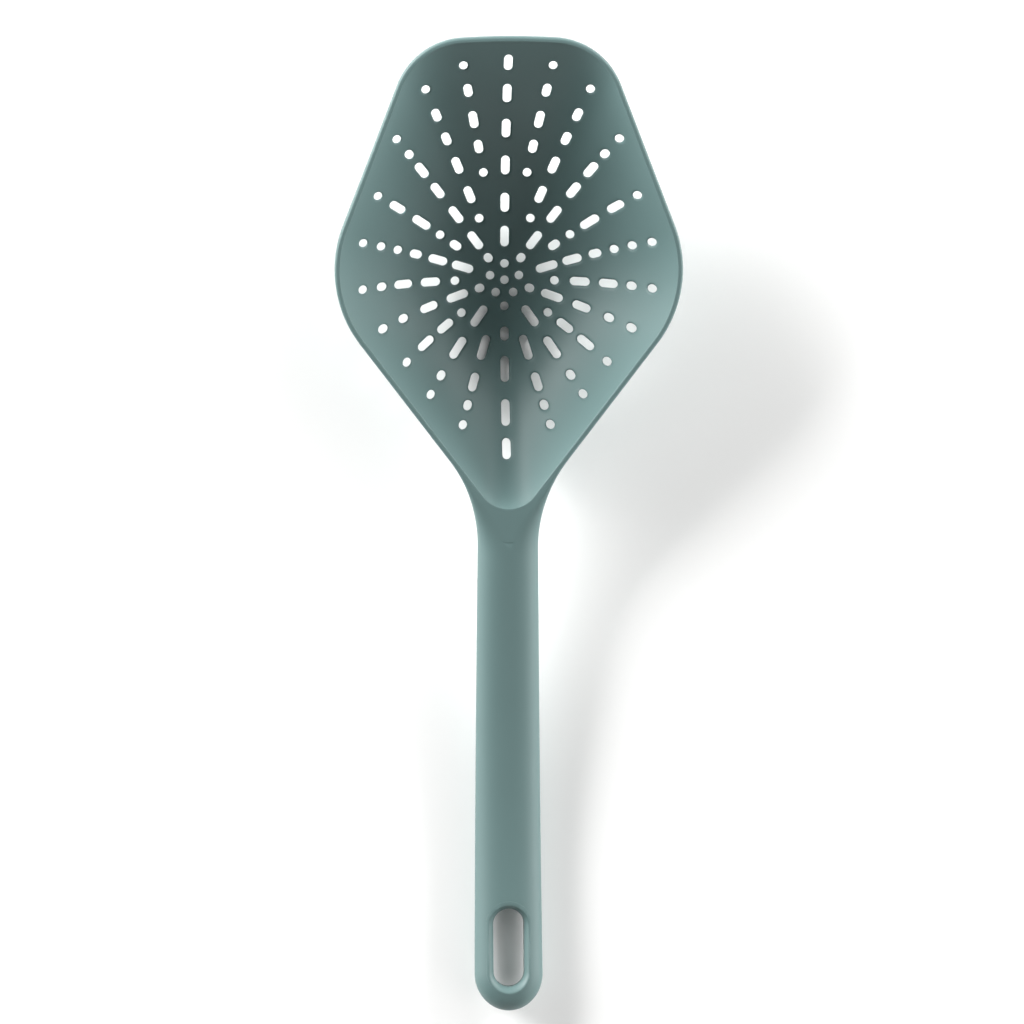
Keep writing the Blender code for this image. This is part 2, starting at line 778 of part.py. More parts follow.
def make_sleeve(shared):
    """The slot's liner, flush with both faces, with a collar between the shells."""
    low, high = -WELL_CLEAR, handle_top(SLOT_Y) + WELL_CLEAR
    sleeve = place(slot_plate("slot_sleeve", SLEEVE_WALL, low, high), "slot_sleeve", PARTS)
    boolean(sleeve, "INTERSECT", cutter(handle_mesh()), "EXACT")
    boolean(sleeve, "UNION", cutter(collar_plate("collar", 0)), "EXACT")
    boolean(sleeve, "DIFFERENCE", cutter(slot_mesh("slot")), "EXACT")
    boolean(sleeve, "DIFFERENCE", shared["table"], "EXACT")
    return sleeve


def peg_places():
    return (FRONT_WALL_Y - FRONT_PEG_SETBACK, CAVITY_END_Y + REAR_PEG_SETBACK)


def join_meshes(name, meshes):
    bm = bmesh.new()
    for mesh in meshes:
        bm.from_mesh(mesh)
    joined = bpy.data.meshes.new(name)
    bm.to_mesh(joined)
    bm.free()
    return joined


def rib_set():
    """Ribs across the cavity and the peg bosses, trimmed to lie inside the handle."""
    first, last = peg_places()
    spots = stations(first, last, RIB_COUNT + 1)[1:-1]
    meshes = []
    for y in spots:
        half = HANDLE_END_WIDTH / 2
        top = handle_top(y)
        low = (-half, y - RIB_THICKNESS / 2, top - HANDLE_THICKNESS)
        meshes.append(box_mesh("rib", low, (half, y + RIB_THICKNESS / 2, top)))
    for y in peg_places():
        top = handle_top(y)
        meshes.append(post_mesh("boss", PEG_BOSS_DIAMETER, 0, y, top - HANDLE_THICKNESS, top))
    ribs = cutter(join_meshes("ribs", meshes))
    inside = cutter(loft_mesh("rib_limit", handle_rings(FRONT_WALL_Y, CAVITY_END_Y, HANDLE_WALL / 2)))
    boolean(ribs, "INTERSECT", inside)
    return ribs


def peg_meshes(name, diameter, top_depth):
    meshes = []
    for y in peg_places():
        top = handle_top(y)
        low = top - HANDLE_THICKNESS + HANDLE_WALL / 2
        meshes.append(post_mesh("peg", diameter, 0, y, low, top - top_depth))
    return cutter(join_meshes(name, meshes))


def peg_hole_meshes():
    """Holes for the pegs, from the core's underside up to the front wall."""
    meshes = []
    for y in peg_places():
        top = handle_top(y)
        low = top - CORE_DEPTH - CORE_THICKNESS - 2 * GAP
        meshes.append(
            post_mesh("peg_hole", PEG_DIAMETER + 2 * GAP, 0, y, low, top - HANDLE_WALL + GAP)
        )
    return cutter(join_meshes("peg_holes", meshes))


def table_cutter():
    reach_all = OVERALL_LENGTH
    return cutter(
        box_mesh("table", (-reach_all, -reach_all, -WELL_CLEAR), (reach_all, reach_all, 0))
    )


def shared_cutters():
    cavity_rings = handle_rings(FRONT_WALL_Y, CAVITY_END_Y, HANDLE_WALL)
    low, high = -WELL_CLEAR, handle_top(SLOT_Y) + WELL_CLEAR
    return {
        "cavity": cutter(loft_mesh("cavity", cavity_rings)),
        "ribs": rib_set(),
        "core_seat": cutter(core_mesh("core_seat", GAP)),
        "tang_seat": place(tang_mesh("tang_seat", GAP), "tang_seat", CUTTERS, HEAD),
        "bowl_seat": bowl_seat(),
        "sleeve_seat": cutter(slot_plate("sleeve_seat", SLEEVE_WALL + GAP, low, high)),
        "collar_seat": cutter(collar_plate("collar_seat", GAP)),
        "pegs": peg_meshes("pegs", PEG_DIAMETER, HANDLE_WALL + GAP),
        "peg_holes": peg_hole_meshes(),
        "table": table_cutter(),
    }


clear_scene()
PARTS = new_collection("skimmer")
CUTTERS = new_collection("skimmer cutters")

MOUTH_REACH = {
    turn: reach(kite(RIM_BAND), math.radians(turn)) for turn in (*bowl_angles(), *OVAL_TURNS)
}
RIM_Z = rim_height()
FRONT_WALL_Y = on_rim_plane(CAVITY_START)[0]
NOSE_Y = on_rim_plane(NOSE_REACH)[0]

HEAD = bpy.data.objects.new("head_pose", None)
HEAD.location = (0, CENTRE_Y, RIM_Z)
HEAD.rotation_euler = (RIM_TILT, 0, 0)
PARTS.objects.link(HEAD)

SHARED = shared_cutters()
NYLON = moulded_plastic("sage_nylon", SAGE, 0.55)
STIFF_NYLON = moulded_plastic("glass_filled_nylon", SAGE_CORE, 0.6)
for part, material in (
    (make_bowl(SHARED), NYLON),
    (make_rim_frame(SHARED), NYLON),
    (make_back_shell(SHARED), NYLON),
    (make_core(SHARED), STIFF_NYLON),
    (make_sleeve(SHARED), NYLON),
):
    part.data.materials.append(material)
    smooth(part)
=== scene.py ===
"""A perforated scoop skimmer in sage green soft-touch nylon, lying on a white table.

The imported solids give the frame. The shell of the scoop, the rim with the front of the handle,
the back of the handle and the liner of the hanging slot are modelled here again from the same
sizes as fine, smooth surfaces. Sizes are in millimetres and become metres where a mesh is made.
The head is drawn in the plane of its rim: x to the right, v towards the front lip, and w up.
"""

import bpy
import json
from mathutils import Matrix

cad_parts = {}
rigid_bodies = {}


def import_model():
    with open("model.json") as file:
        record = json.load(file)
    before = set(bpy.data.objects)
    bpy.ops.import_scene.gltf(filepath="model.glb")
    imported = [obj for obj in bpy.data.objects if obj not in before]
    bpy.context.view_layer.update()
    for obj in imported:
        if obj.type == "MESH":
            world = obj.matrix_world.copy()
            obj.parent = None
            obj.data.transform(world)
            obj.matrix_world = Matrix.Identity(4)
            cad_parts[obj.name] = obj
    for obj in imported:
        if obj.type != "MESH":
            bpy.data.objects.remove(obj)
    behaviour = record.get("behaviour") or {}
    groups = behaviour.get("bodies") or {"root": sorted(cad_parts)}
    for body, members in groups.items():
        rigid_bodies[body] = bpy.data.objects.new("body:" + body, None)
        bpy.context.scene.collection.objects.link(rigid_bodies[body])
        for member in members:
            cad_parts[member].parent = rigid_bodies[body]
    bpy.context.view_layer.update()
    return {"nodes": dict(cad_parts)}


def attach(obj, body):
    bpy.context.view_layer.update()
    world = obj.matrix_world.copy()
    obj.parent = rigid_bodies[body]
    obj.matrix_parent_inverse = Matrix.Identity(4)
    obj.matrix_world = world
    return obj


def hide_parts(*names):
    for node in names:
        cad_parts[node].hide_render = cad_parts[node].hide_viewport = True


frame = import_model()

import json
import math

import bmesh
import bpy
from mathutils import Matrix, Quaternion, Vector

MM = 0.001

# Whole tool
OVERALL_LENGTH = 350
SEAM = 0.06  # gap between two mouldings where they meet on the outside

# Head, in the plane of the rim. Half widths and reaches go to sharp corners.
RIM_TILT = math.radians(8.75)
FRONT_REACH = 94.8
FRONT_BOW = 1.8
FRONT_BOW_RADIUS = 250
FRONT_HALF_WIDTH = 33.8
FRONT_CORNER_RADIUS = 26.5
SHOULDER_HALF_WIDTH = 68.15
SHOULDER_REACH = 3.5
SHOULDER_RADIUS = 44  # at the widest place
TAIL_REACH = 86.1
TAIL_RADIUS = 13.4
NECK_RADIUS = 50

# Rim band
RIM_BAND = 1.9
RIM_SKIRT = 0.9  # wall of the band outside the scoop's edge
RIM_HEIGHT = 4.0
RIM_ROLL = 1.0  # how far in from the outline the band starts to roll off
RIM_ROLL_DROP = 0.9
RIM_FOOT_ROUND = 0.35
MOUTH_ROUND = 0.35
MOUTH_STEP = 0.45  # height of the band's inner edge over the scoop

# Scoop
BOWL_DEPTH = 38
BOWL_WALL = 2.2
BOWL_POWER = 2.45  # how fast the inside climbs with the distance from the centre
OUTLINE_POWER = 1.5  # how fast the oval middle takes on the outline of the mouth
REST_FLAT = 0.35  # depth of the flats that the tool rests on

# Perforations: for each spoke, in degrees from the front, the distance from the pattern's pole
# and the length of each opening.
PERFORATION_WIDTH = 3.05
LIP_ROUND = 0.85
LIP_DROP = 1.0  # how deep the lip's rounding reaches on the inside
LIP_TURNS = (18, 36, 54, 72, 90)  # degrees round the lip at which its levels stand
DRAFT = 0.05  # how much wider all round an opening is on the outside
DOT = 0  # an opening that is no longer than wide
POLE_REACH = 2.3  # how far the pattern's pole lies ahead of the scoop's centre
CENTRE_SPOKES = {
    0: ((6, DOT), (16, 7.5), (28.5, 7), (42.5, 7), (56.5, 7), (70, 7), (82, 6)),
    180: ((0, DOT), (9.5, DOT), (19.5, 5), (32, 9), (47, 9), (59, 7)),
}
PAIRED_SPOKES = {
    11.2: ((40.5, DOT), (50.5, 5), (61, 6.5), (72.5, 5), (82.5, DOT)),
    22.2: ((24.5, DOT), (34, 6.5), (46, 6.5), (57, 5), (67, 5), (78, DOT)),
    36.2: ((10, 3.5), (18, 7.5), (30, 7), (41.5, 6.5), (51.5, 6.5), (59.5, 3.5), (67.5, DOT)),
    54: ((22, 4.5), (29, DOT), (37.5, 7.5), (48.5, 6.5), (57.5, DOT)),
    72: ((5.5, DOT), (16, 8), (25.5, 7), (34, 4.5), (41, DOT), (47.5, DOT), (54.5, DOT)),
    90: ((18, DOT), (27, 7), (37, 6.5), (45, 3.5), (52, DOT)),
    108: ((9.5, 3.5), (18, 8), (29, 6.5), (39, 3.5), (47, 3.5)),
    126.7: ((19.5, DOT), (27, 6.5), (36, 6.5), (45, DOT)),
    144.7: ((5.5, DOT), (16, 8.5), (29.5, 8.5), (40.5, 3.5), (47.5, DOT)),
    162.5: ((25.5, 9), (38, 6.5), (46, 3.5), (52.5, DOT)),
}

# Handle. The reaches of the neck, the roll, the nose and the cavity go from the scoop's centre.
NECK_START = 55
NECK_END = 81
ROLL_START = 63  # where the band's roll starts to widen into the handle's round sides
ROLL_END = 92
ROLL_DELAY = 1.5  # 1 where the roll widens evenly, more where it widens late
HANDLE_NECK_WIDTH = 21.8
HANDLE_END_WIDTH = 24.6
HANDLE_THICKNESS = 14.5
HANDLE_WALL = 2.8
OVAL = 2
HANDLE_SQUARENESS = 2.15  # OVAL for an ellipse, and a large number for a rectangle
END_ROUND = 13.3
END_DOME = 0.7  # how soon the end falls off: 0.5 late, 1 early
LOW_POINT_FROM_END = 49
END_LIFT = 1.4
NOSE_REACH = 75
CAVITY_START = 84
DIMPLE_Y = -6.5
DIMPLE_RADIUS = 1.8
DIMPLE_DEPTH = 0.09
DIMPLE_OVERREACH = 1.3  # how far the lens that cuts the dimple runs on past its edge

# Hanging slot
SLOT_WIDTH = 11.1
SLOT_LENGTH = 28
SLOT_FROM_END = 8.8
SLOT_FLARE = 1.8
FLARE_DEPTH = 3.6
FLARE_OFFSET = 0.6  # how far the flare's edge stands nearer to the handle's end than the waist
FLARE_STEEPNESS = 0.4  # 0 where the flare leaves the face smoothly, 1 where it is a chamfer
FLARE_EDGE_ROUND = 0.2
FLARE_EDGE_START = 0.1  # shares of that rounding over and under the face
FLARE_EDGE_END = 0.25
LINER_EDGE = 0.9  # how far the liner shows past its flare
LINER_SEAM = 0.02
POCKET_WALL = 3.0

# Fineness of the surfaces
ARC_STEP = math.radians(3)
STRAIGHT_STEP = 3
NECK_ARC_STEP = math.radians(1.2)
BOWL_COLUMNS = 240
BOWL_RINGS = 44
RING_CROWDING = 0.8  # below 1, the scoop's rings lie closer together towards the mouth
PAST_MOUTH = 1.06  # how far the scoop's surface runs on before its edge is trimmed
PIN_END_SIDES = 12
PIN_STRAIGHT_PARTS = 4
SHORTEST_STRAIGHT = 0.04
SLOT_END_SIDES = 24
ROLL_ROWS = 14
CURVE_CHORDS = 240
BRIDGE_START = -40  # ahead of here the frame's middle is open
BRIDGE_SHARE = 0.6  # where the faces meet the middle there, as a share of the way to the outline
BRIDGE_PARTS = 6
HANDLE_STEP = 2.2
END_STATIONS = 26
END_CROWDING = 1.5  # above 1, the stations lie closer together towards the tip
LEAST_SLOPE = 0.2  # of the outline, where its distance from the middle is taken
PARTING_STATIONS = 90
CAVITY_STATIONS = 40
CAVITY_SIDES = 32
FLARE_STATIONS = 8
DIMPLE_RINGS = 8
DIMPLE_SIDES = 40
SHARP_ANGLE = math.radians(32)
MERGE = 1e-4
SLIVER = 0.002  # the widest sliver that is cleaned away
ALL_BUT_STRAIGHT = math.radians(3)
WELL_CLEAR = 60  # how far cutters run past what they cut
JUST_CLEAR = 1  # how far the mouth's cutter starts below the scoop's edge
HARDLY_CLEAR = 0.06  # how far its rounding runs on over the band
NEXT_TO = 0.5  # points nearer than this to a joint between two curves are left out
ROUNDING = 1e-9
PARALLEL = 1e-12

# Sizes that follow
CENTRE_Y = OVERALL_LENGTH / 2 - FRONT_REACH * math.cos(RIM_TILT) - RIM_HEIGHT * math.sin(RIM_TILT)
END_Y = -OVERALL_LENGTH / 2
SLOT_Y = END_Y + SLOT_FROM_END + SLOT_LENGTH / 2
PARTING_DEPTH = HANDLE_THICKNESS / 2
LINER_REACH = SLOT_FLARE + LINER_EDGE


# Outlines


def rounded_outline(corners):
    """Points of a closed outline, each of whose corners (x, v, radius) is rounded by an arc."""
    points = []
    for i, (x, v, radius) in enumerate(corners):
        corner = Vector((x, v))
        back = (Vector(corners[i - 1][:2]) - corner).normalized()
        ahead = (Vector(corners[(i + 1) % len(corners)][:2]) - corner).normalized()
        half_angle = back.angle(ahead) / 2
        middle = corner + (back + ahead).normalized() * radius / math.sin(half_angle)
        start = corner + back * radius / math.tan(half_angle) - middle
        turn = math.pi - 2 * half_angle
        if back.cross(ahead) > 0:
            turn = -turn
        steps = max(2, math.ceil(abs(turn) / ARC_STEP))
        for k in range(steps + 1):
            points.append(middle + Matrix.Rotation(turn * k / steps, 2) @ start)
    return points


def inset_corners(corners, distance):
    """The corners of the same counter-clockwise outline, moved inwards."""
    moved = []
    for i, (x, v, radius) in enumerate(corners):
        corner = Vector((x, v))
        arriving = (corner - Vector(corners[i - 1][:2])).normalized()
        leaving = (Vector(corners[(i + 1) % len(corners)][:2]) - corner).normalized()
        inward_a = Vector((-arriving.y, arriving.x))
        inward_b = Vector((-leaving.y, leaving.x))
        shift = (inward_a + inward_b) * distance / (1 + inward_a.dot(inward_b))
        moved.append((x + shift.x, v + shift.y, radius - distance))
    return moved


def kite(inset):
    """The head's outline without the neck: front edge, shoulders, and sides that meet in a tail."""
    right = [
        (FRONT_HALF_WIDTH, FRONT_REACH - FRONT_BOW, FRONT_CORNER_RADIUS),
        (SHOULDER_HALF_WIDTH, SHOULDER_REACH, SHOULDER_RADIUS),
    ]
    left = [(-x, v, radius) for x, v, radius in right]
    front = (0, FRONT_REACH, FRONT_BOW_RADIUS)
    tail = (0, -TAIL_REACH, TAIL_RADIUS)
    return rounded_outline(inset_corners([front, *left, tail, *reversed(right)], inset))


def reach(outline, angle):
    """How far an outline lies from the centre, at an angle from the front."""
    direction = Vector((math.sin(angle), math.cos(angle)))
    farthest = 0
    for a, b in zip(outline, outline[1:] + outline[:1]):
        edge = b - a
        across = direction.cross(edge)
        if abs(across) < PARALLEL:
            continue
        along_edge = a.cross(direction) / -edge.cross(direction)
        if -ROUNDING <= along_edge <= 1 + ROUNDING:
            farthest = max(farthest, a.cross(edge) / across)
    return farthest


def stadium(width, length, centre_y):
    """A slot outline with round ends, its length along Y."""
    straight = (length - width) / 2
    points = []
    for end in (1, -1):
        for k in range(SLOT_END_SIDES + 1):
            arc = math.pi * k / SLOT_END_SIDES
            x, y = math.cos(arc) * end * width / 2, math.sin(arc) * end * width / 2
            points.append((x, centre_y + y + end * straight))
    return points


def ease(t):
    """Rises from 0 to 1 without a corner at either end."""
    t = min(max(t, 0), 1)
    return t * t * (3 - 2 * t)


def spread(first, last, count):
    """Evenly spread numbers, both ends included."""
    return [first + (last - first) * k / count for k in range(count + 1)]


# Meshes, all in millimetres until they are finished


def mesh_of(bm, name):
    bmesh.ops.remove_doubles(bm, verts=bm.verts, dist=MERGE)
    bmesh.ops.dissolve_degenerate(bm, edges=bm.edges, dist=MERGE)
    bmesh.ops.recalc_face_normals(bm, faces=bm.faces)
    mesh = bpy.data.meshes.new(name)
    bm.to_mesh(mesh)
    bm.free()
    return mesh


def new_object(name, mesh):
    obj = bpy.data.objects.new(name, mesh)
    bpy.context.scene.collection.objects.link(obj)
    return obj


def loft(name, rings):
    """A closed skin through rings of equally many points."""
    bm = bmesh.new()
    loops = [[bm.verts.new(point) for point in ring] for ring in rings]
    for lower, upper in zip(loops, loops[1:]):
        for k in range(len(lower)):
            after = (k + 1) % len(lower)
            bm.faces.new((lower[k], lower[after], upper[after], upper[k]))
    bm.faces.new(loops[0])
    bm.faces.new(loops[-1])
    return new_object(name, mesh_of(bm, name))


def settled(obj):
    """Moves a piece of the head from the plane of the rim to where the head lies."""
    obj.data.transform(HEAD_POSE)
    return obj


def boolean(obj, operation, tool):
    modifier = obj.modifiers.new(f"{operation.lower()} {tool.name}", "BOOLEAN")
    modifier.operation = operation
    modifier.solver = "MANIFOLD"
    modifier.object = tool


def apply_modifiers(obj):
    """Turns an object with its modifiers into a plain mesh."""
    graph = bpy.context.evaluated_depsgraph_get()
    mesh = bpy.data.meshes.new_from_object(obj.evaluated_get(graph))
    obj.modifiers.clear()
    obj.data = mesh
    return obj


# Scoop


def bowl_point(turn, share):
    """A point of the inside, share of the way from the centre to the mouth, at a turn."""
    front, side, back = (mouth_reach(a) for a in (0, math.pi / 2, math.pi))
    oval = (front + back + 2 * side) / 4 + (front - back) / 2 * math.cos(turn)
    oval += (front + back - 2 * side) / 4 * math.cos(2 * turn)
    outline = mouth_reach(turn)
    blend = min(share, 1) ** OUTLINE_POWER
    distance = share * (oval + (outline - oval) * blend)
    w = -MOUTH_STEP - (BOWL_DEPTH - MOUTH_STEP) * (1 - share**BOWL_POWER)
    return Vector((distance * math.sin(turn), distance * math.cos(turn), w))


MOUTH = kite(RIM_BAND)
KNOWN_REACHES = {}


def mouth_reach(turn):
    if turn not in KNOWN_REACHES:
        KNOWN_REACHES[turn] = reach(MOUTH, turn)
    return KNOWN_REACHES[turn]


def bowl_turns():
    return [2 * math.pi * k / BOWL_COLUMNS for k in range(BOWL_COLUMNS)]


def bowl_shares():
    steps = [(k / BOWL_RINGS) ** RING_CROWDING for k in range(1, BOWL_RINGS + 1)]
    return [*steps, 1 + (PAST_MOUTH - 1) / 2, PAST_MOUTH]


def bowl_sheet(grow=0):
    """The open inside surface, which runs on past the mouth to be trimmed, or one outside it."""
    bm = bmesh.new()
    centre = bm.verts.new(bowl_point(0, 0))
    rings = [[bm.verts.new(bowl_point(turn, share)) for turn in bowl_turns()]
             for share in bowl_shares()]
    for k in range(BOWL_COLUMNS):
        after = (k + 1) % BOWL_COLUMNS
        bm.faces.new((centre, rings[0][after], rings[0][k]))
        for inner, outer in zip(rings, rings[1:]):
            bm.faces.new((inner[k], inner[after], outer[after], outer[k]))
    bm.normal_update()
    moves = [(vert, vert.normal * grow) for vert in bm.verts]
    for vert, move in moves:
        vert.co -= move
    return bm


def capped(bm, height):
    """Closes an open sheet by a wall up from its edge and a lid."""
    rim = [edge for edge in bm.edges if edge.is_boundary]
    wall = bmesh.ops.extrude_edge_only(bm, edges=rim)["geom"]
    for vert in (item for item in wall if isinstance(item, bmesh.types.BMVert)):
        vert.co.z = height
    top = [edge for edge in bm.edges if edge.is_boundary]
    bmesh.ops.contextual_create(bm, geom=top)
    return bm


def head_plate(name, inset, low, high):
    outline = kite(inset)
    return loft(name, [[(p.x, p.y, w) for p in outline] for w in (low, high)])


def rim_height():
    """Height of the rim's plane over the table, above the scoop's centre."""
    leaning = Matrix.Rotation(RIM_TILT, 3, "X")
    lowest = min(
        (leaning @ bowl_point(turn, share)).z for turn in bowl_turns() for share in bowl_shares()
    )
    return BOWL_WALL - REST_FLAT - lowest


def opening_places():
    """A point at each perforation's centre, with its turn and half of its straight run."""
    spokes = list(CENTRE_SPOKES.items())
    for angle, row in PAIRED_SPOKES.items():
        spokes += [(angle, row), (-angle, row)]
    places = []
    for angle, row in spokes:
        turn = math.radians(angle)
        for distance, length in row:
            centre = Vector((math.sin(turn), math.cos(turn), 0)) * distance
            centre.y += POLE_REACH
            straight = max(length - PERFORATION_WIDTH, SHORTEST_STRAIGHT) / 2
            places.append((centre, turn, straight))
    mesh = bpy.data.meshes.new("opening_places")
    mesh.from_pydata([centre for centre, _, _ in places], [], [])
    mesh.attributes.new("centre", "FLOAT_VECTOR", "POINT")
    mesh.attributes.new("turn", "FLOAT", "POINT")
    mesh.attributes.new("straight", "FLOAT", "POINT")
    for i, (centre, turn, straight) in enumerate(places):
        mesh.attributes["centre"].data[i].vector = centre
        mesh.attributes["turn"].data[i].value = turn
        mesh.attributes["straight"].data[i].value = straight
    return new_object("opening_places", mesh)


def lip_steps():
    """The pin's levels from the top: which face they follow, and their outward growth and height.

    Both are shares of the lip's radius. The last levels stand clear of the wall.
    """
    curve = [math.radians(a) for a in LIP_TURNS]
    rise, clear = 0.05, 4

    def levels(drop):
        lip = [(1 - math.sin(a), drop * (math.cos(a) - 1)) for a in curve]
        widest = lip[0][0] + (1 - lip[0][0]) * (rise - lip[0][1]) / -lip[0][1]
        return [(widest, clear), (widest, rise), *lip]

    wider = DRAFT / LIP_ROUND
    inside = [(0, grow, height) for grow, height in levels(LIP_DROP / LIP_ROUND)]
    outside = [(1, grow + wider, -height) for grow, height in reversed(levels(1))]
    return inside + outside


def pin_outline():
    """A unit circle as (x, y, end): end says how far a point moves with the straight run."""
    points = []
    for end in (1, -1):
        for k in range(PIN_END_SIDES + 1):
            arc = math.pi * k / PIN_END_SIDES
            points.append((math.cos(arc) * end, math.sin(arc) * end, end))
        for k in range(1, PIN_STRAIGHT_PARTS):
            points.append((-end, 0, end * (1 - 2 * k / PIN_STRAIGHT_PARTS)))
    return points


def opening_pin():
    """A unit pin with round ends, whose levels are told apart by attributes."""
    bm = bmesh.new()
    names = ("end", "side", "grow", "height")
    layers = {name: bm.verts.layers.float.new(name) for name in names}
    loops = []
    for side, grow, height in lip_steps():
        loop = []
        for x, y, end in pin_outline():
            vert = bm.verts.new((x, y, 0))
            for name, value in zip(names, (end, side, grow, height)):
                vert[layers[name]] = value
            loop.append(vert)
        loops.append(loop)
    for upper, lower in zip(loops, loops[1:]):
        for k in range(len(upper)):
            after = (k + 1) % len(upper)
            bm.faces.new((upper[k], lower[k], lower[after], upper[after]))
    bm.faces.new(loops[0])
    bm.faces.new(reversed(loops[-1]))
    mesh = bpy.data.meshes.new("opening_pin")
    bm.to_mesh(mesh)
    bm.free()
    return new_object("opening_pin", mesh)


# Node trees


def add_node(tree, kind, settings=None, inputs=None):
    """Adds a node, sets its properties, and feeds its inputs from values or other sockets."""
    node = tree.nodes.new(kind)
    for key, value in (settings or {}).items():
        setattr(node, key, value)
    for key, value in (inputs or {}).items():
        if isinstance(value, bpy.types.NodeSocket):
            tree.links.new(value, node.inputs[key])
        else:
            node.inputs[key].default_value = value
    return node


def perforation_tree():
    """Cuts an opening with rounded lips at each place, square to the rim's plane.

    Each level of a pin keeps its own height over the inside or under the outside of the wall, so
    the lips follow the slope of the scoop.
    """
    tree = bpy.data.node_groups.new("perforate scoop", "GeometryNodeTree")
    sockets = (
        ("Scoop", "NodeSocketGeometry", "INPUT"),
        ("Places", "NodeSocketObject", "INPUT"),
        ("Pin", "NodeSocketObject", "INPUT"),
        ("Opening width", "NodeSocketFloat", "INPUT"),
        ("Lip round", "NodeSocketFloat", "INPUT"),
        ("Finish", "NodeSocketMaterial", "INPUT"),
        ("Scoop", "NodeSocketGeometry", "OUTPUT"),
    )
    for name, kind, direction in sockets:
        tree.interface.new_socket(name, in_out=direction, socket_type=kind)
    given = add_node(tree, "NodeGroupInput").outputs

    def named(name, kind="FLOAT"):
        settings = {"data_type": kind}
        return add_node(tree, "GeometryNodeInputNamedAttribute", settings, {0: name}).outputs[0]

    def maths(operation, a, b=0.0, c=0.0):
        inputs = {0: a, 1: b, 2: c}
        return add_node(tree, "ShaderNodeMath", {"operation": operation}, inputs).outputs[0]

    places = add_node(tree, "GeometryNodeObjectInfo", None, {"Object": given["Places"]})
    pin = add_node(tree, "GeometryNodeObjectInfo", None, {"Object": given["Pin"]})
    pins = add_node(
        tree,
        "GeometryNodeInstanceOnPoints",
        None,
        {"Points": places.outputs["Geometry"], "Instance": pin.outputs["Geometry"]},
    )
    loose = add_node(
        tree, "GeometryNodeRealizeInstances", None, {0: pins.outputs["Instances"]}
    ).outputs[0]

    centre = named("centre", "FLOAT_VECTOR")
    position = add_node(tree, "GeometryNodeInputPosition").outputs[0]
    unit = add_node(
        tree, "ShaderNodeVectorMath", {"operation": "SUBTRACT"}, {0: position, 1: centre}
    ).outputs[0]
    half_width = maths("MULTIPLY", given["Opening width"], 0.5)
    lip = given["Lip round"]
    radius = maths("MULTIPLY_ADD", named("grow"), lip, half_width)
    rounded = add_node(
        tree, "ShaderNodeVectorMath", {"operation": "SCALE"}, {0: unit, "Scale": radius}
    ).outputs[0]
    shift = maths("MULTIPLY", named("end"), named("straight"))
    straight = add_node(tree, "ShaderNodeCombineXYZ", None, {"Y": shift}).outputs[0]
    drawn = add_node(
        tree, "ShaderNodeVectorMath", {"operation": "ADD"}, {0: rounded, 1: straight}
    ).outputs[0]
    turned = add_node(
        tree,
        "ShaderNodeVectorRotate",
        {"rotation_type": "Z_AXIS"},
        {"Vector": drawn, "Angle": maths("MULTIPLY", named("turn"), -1.0)},
    ).outputs[0]
    flat = add_node(
        tree, "ShaderNodeVectorMath", {"operation": "ADD"}, {0: turned, 1: centre}
    ).outputs[0]

    def wall_height(start, direction):
        """Height of the wall's face that a ray along the rim's normal meets first."""
        source = add_node(
            tree, "ShaderNodeVectorMath", {"operation": "ADD"}, {0: flat, 1: (0, 0, start)}
        ).outputs[0]
        ray = add_node(
            tree,
            "GeometryNodeRaycast",
            None,
            {
                "Target Geometry": given["Scoop"],
                "Source Position": source,
                "Ray Direction": (0, 0, direction),
                "Ray Length": 4.0 * WELL_CLEAR,
            },
        )
        hit = ray.outputs["Hit Position"]
        return add_node(tree, "ShaderNodeSeparateXYZ", None, {0: hit}).outputs["Z"]

    inside = wall_height(WELL_CLEAR, -1.0)
    outside = wall_height(-2.0 * WELL_CLEAR, 1.0)
    level = add_node(
        tree, "ShaderNodeMix", {"data_type": "FLOAT"}, {0: named("side"), 2: inside, 3: outside}
    ).outputs[0]
    height = maths("MULTIPLY_ADD", named("height"), lip, level)
    cut = add_node(tree, "ShaderNodeSeparateXYZ", None, {0: flat}).outputs
    final = add_node(
        tree, "ShaderNodeCombineXYZ", None, {"X": cut["X"], "Y": cut["Y"], "Z": height}
    ).outputs[0]
    placed = add_node(
        tree, "GeometryNodeSetPosition", None, {"Geometry": loose, "Position": final}
    ).outputs[0]
    difference = add_node(
        tree,
        "GeometryNodeMeshBoolean",
        {"operation": "DIFFERENCE", "solver": "MANIFOLD"},
        {"Mesh 1": given["Scoop"], "Mesh 2": placed},
    ).outputs["Mesh"]
    whole = add_node(tree, "GeometryNodeRealizeInstances", None, {0: difference}).outputs[0]
    finished = add_node(
        tree, "GeometryNodeSetMaterial", None, {"Geometry": whole, "Material": given["Finish"]}
    ).outputs[0]
    add_node(tree, "NodeGroupOutput", None, {"Scoop": finished})
    return tree


def perforate(scoop, material):
    modifier = scoop.modifiers.new("perforations", "NODES")
    modifier.node_group = perforation_tree()
    values = {
        "Places": opening_places(),
        "Pin": opening_pin(),
        "Opening width": float(PERFORATION_WIDTH),
        "Lip round": LIP_ROUND,
        "Finish": material,
    }
    for item in modifier.node_group.interface.items_tree:
        if item.in_out == "INPUT" and item.name in values:
            modifier[item.identifier] = values[item.name]


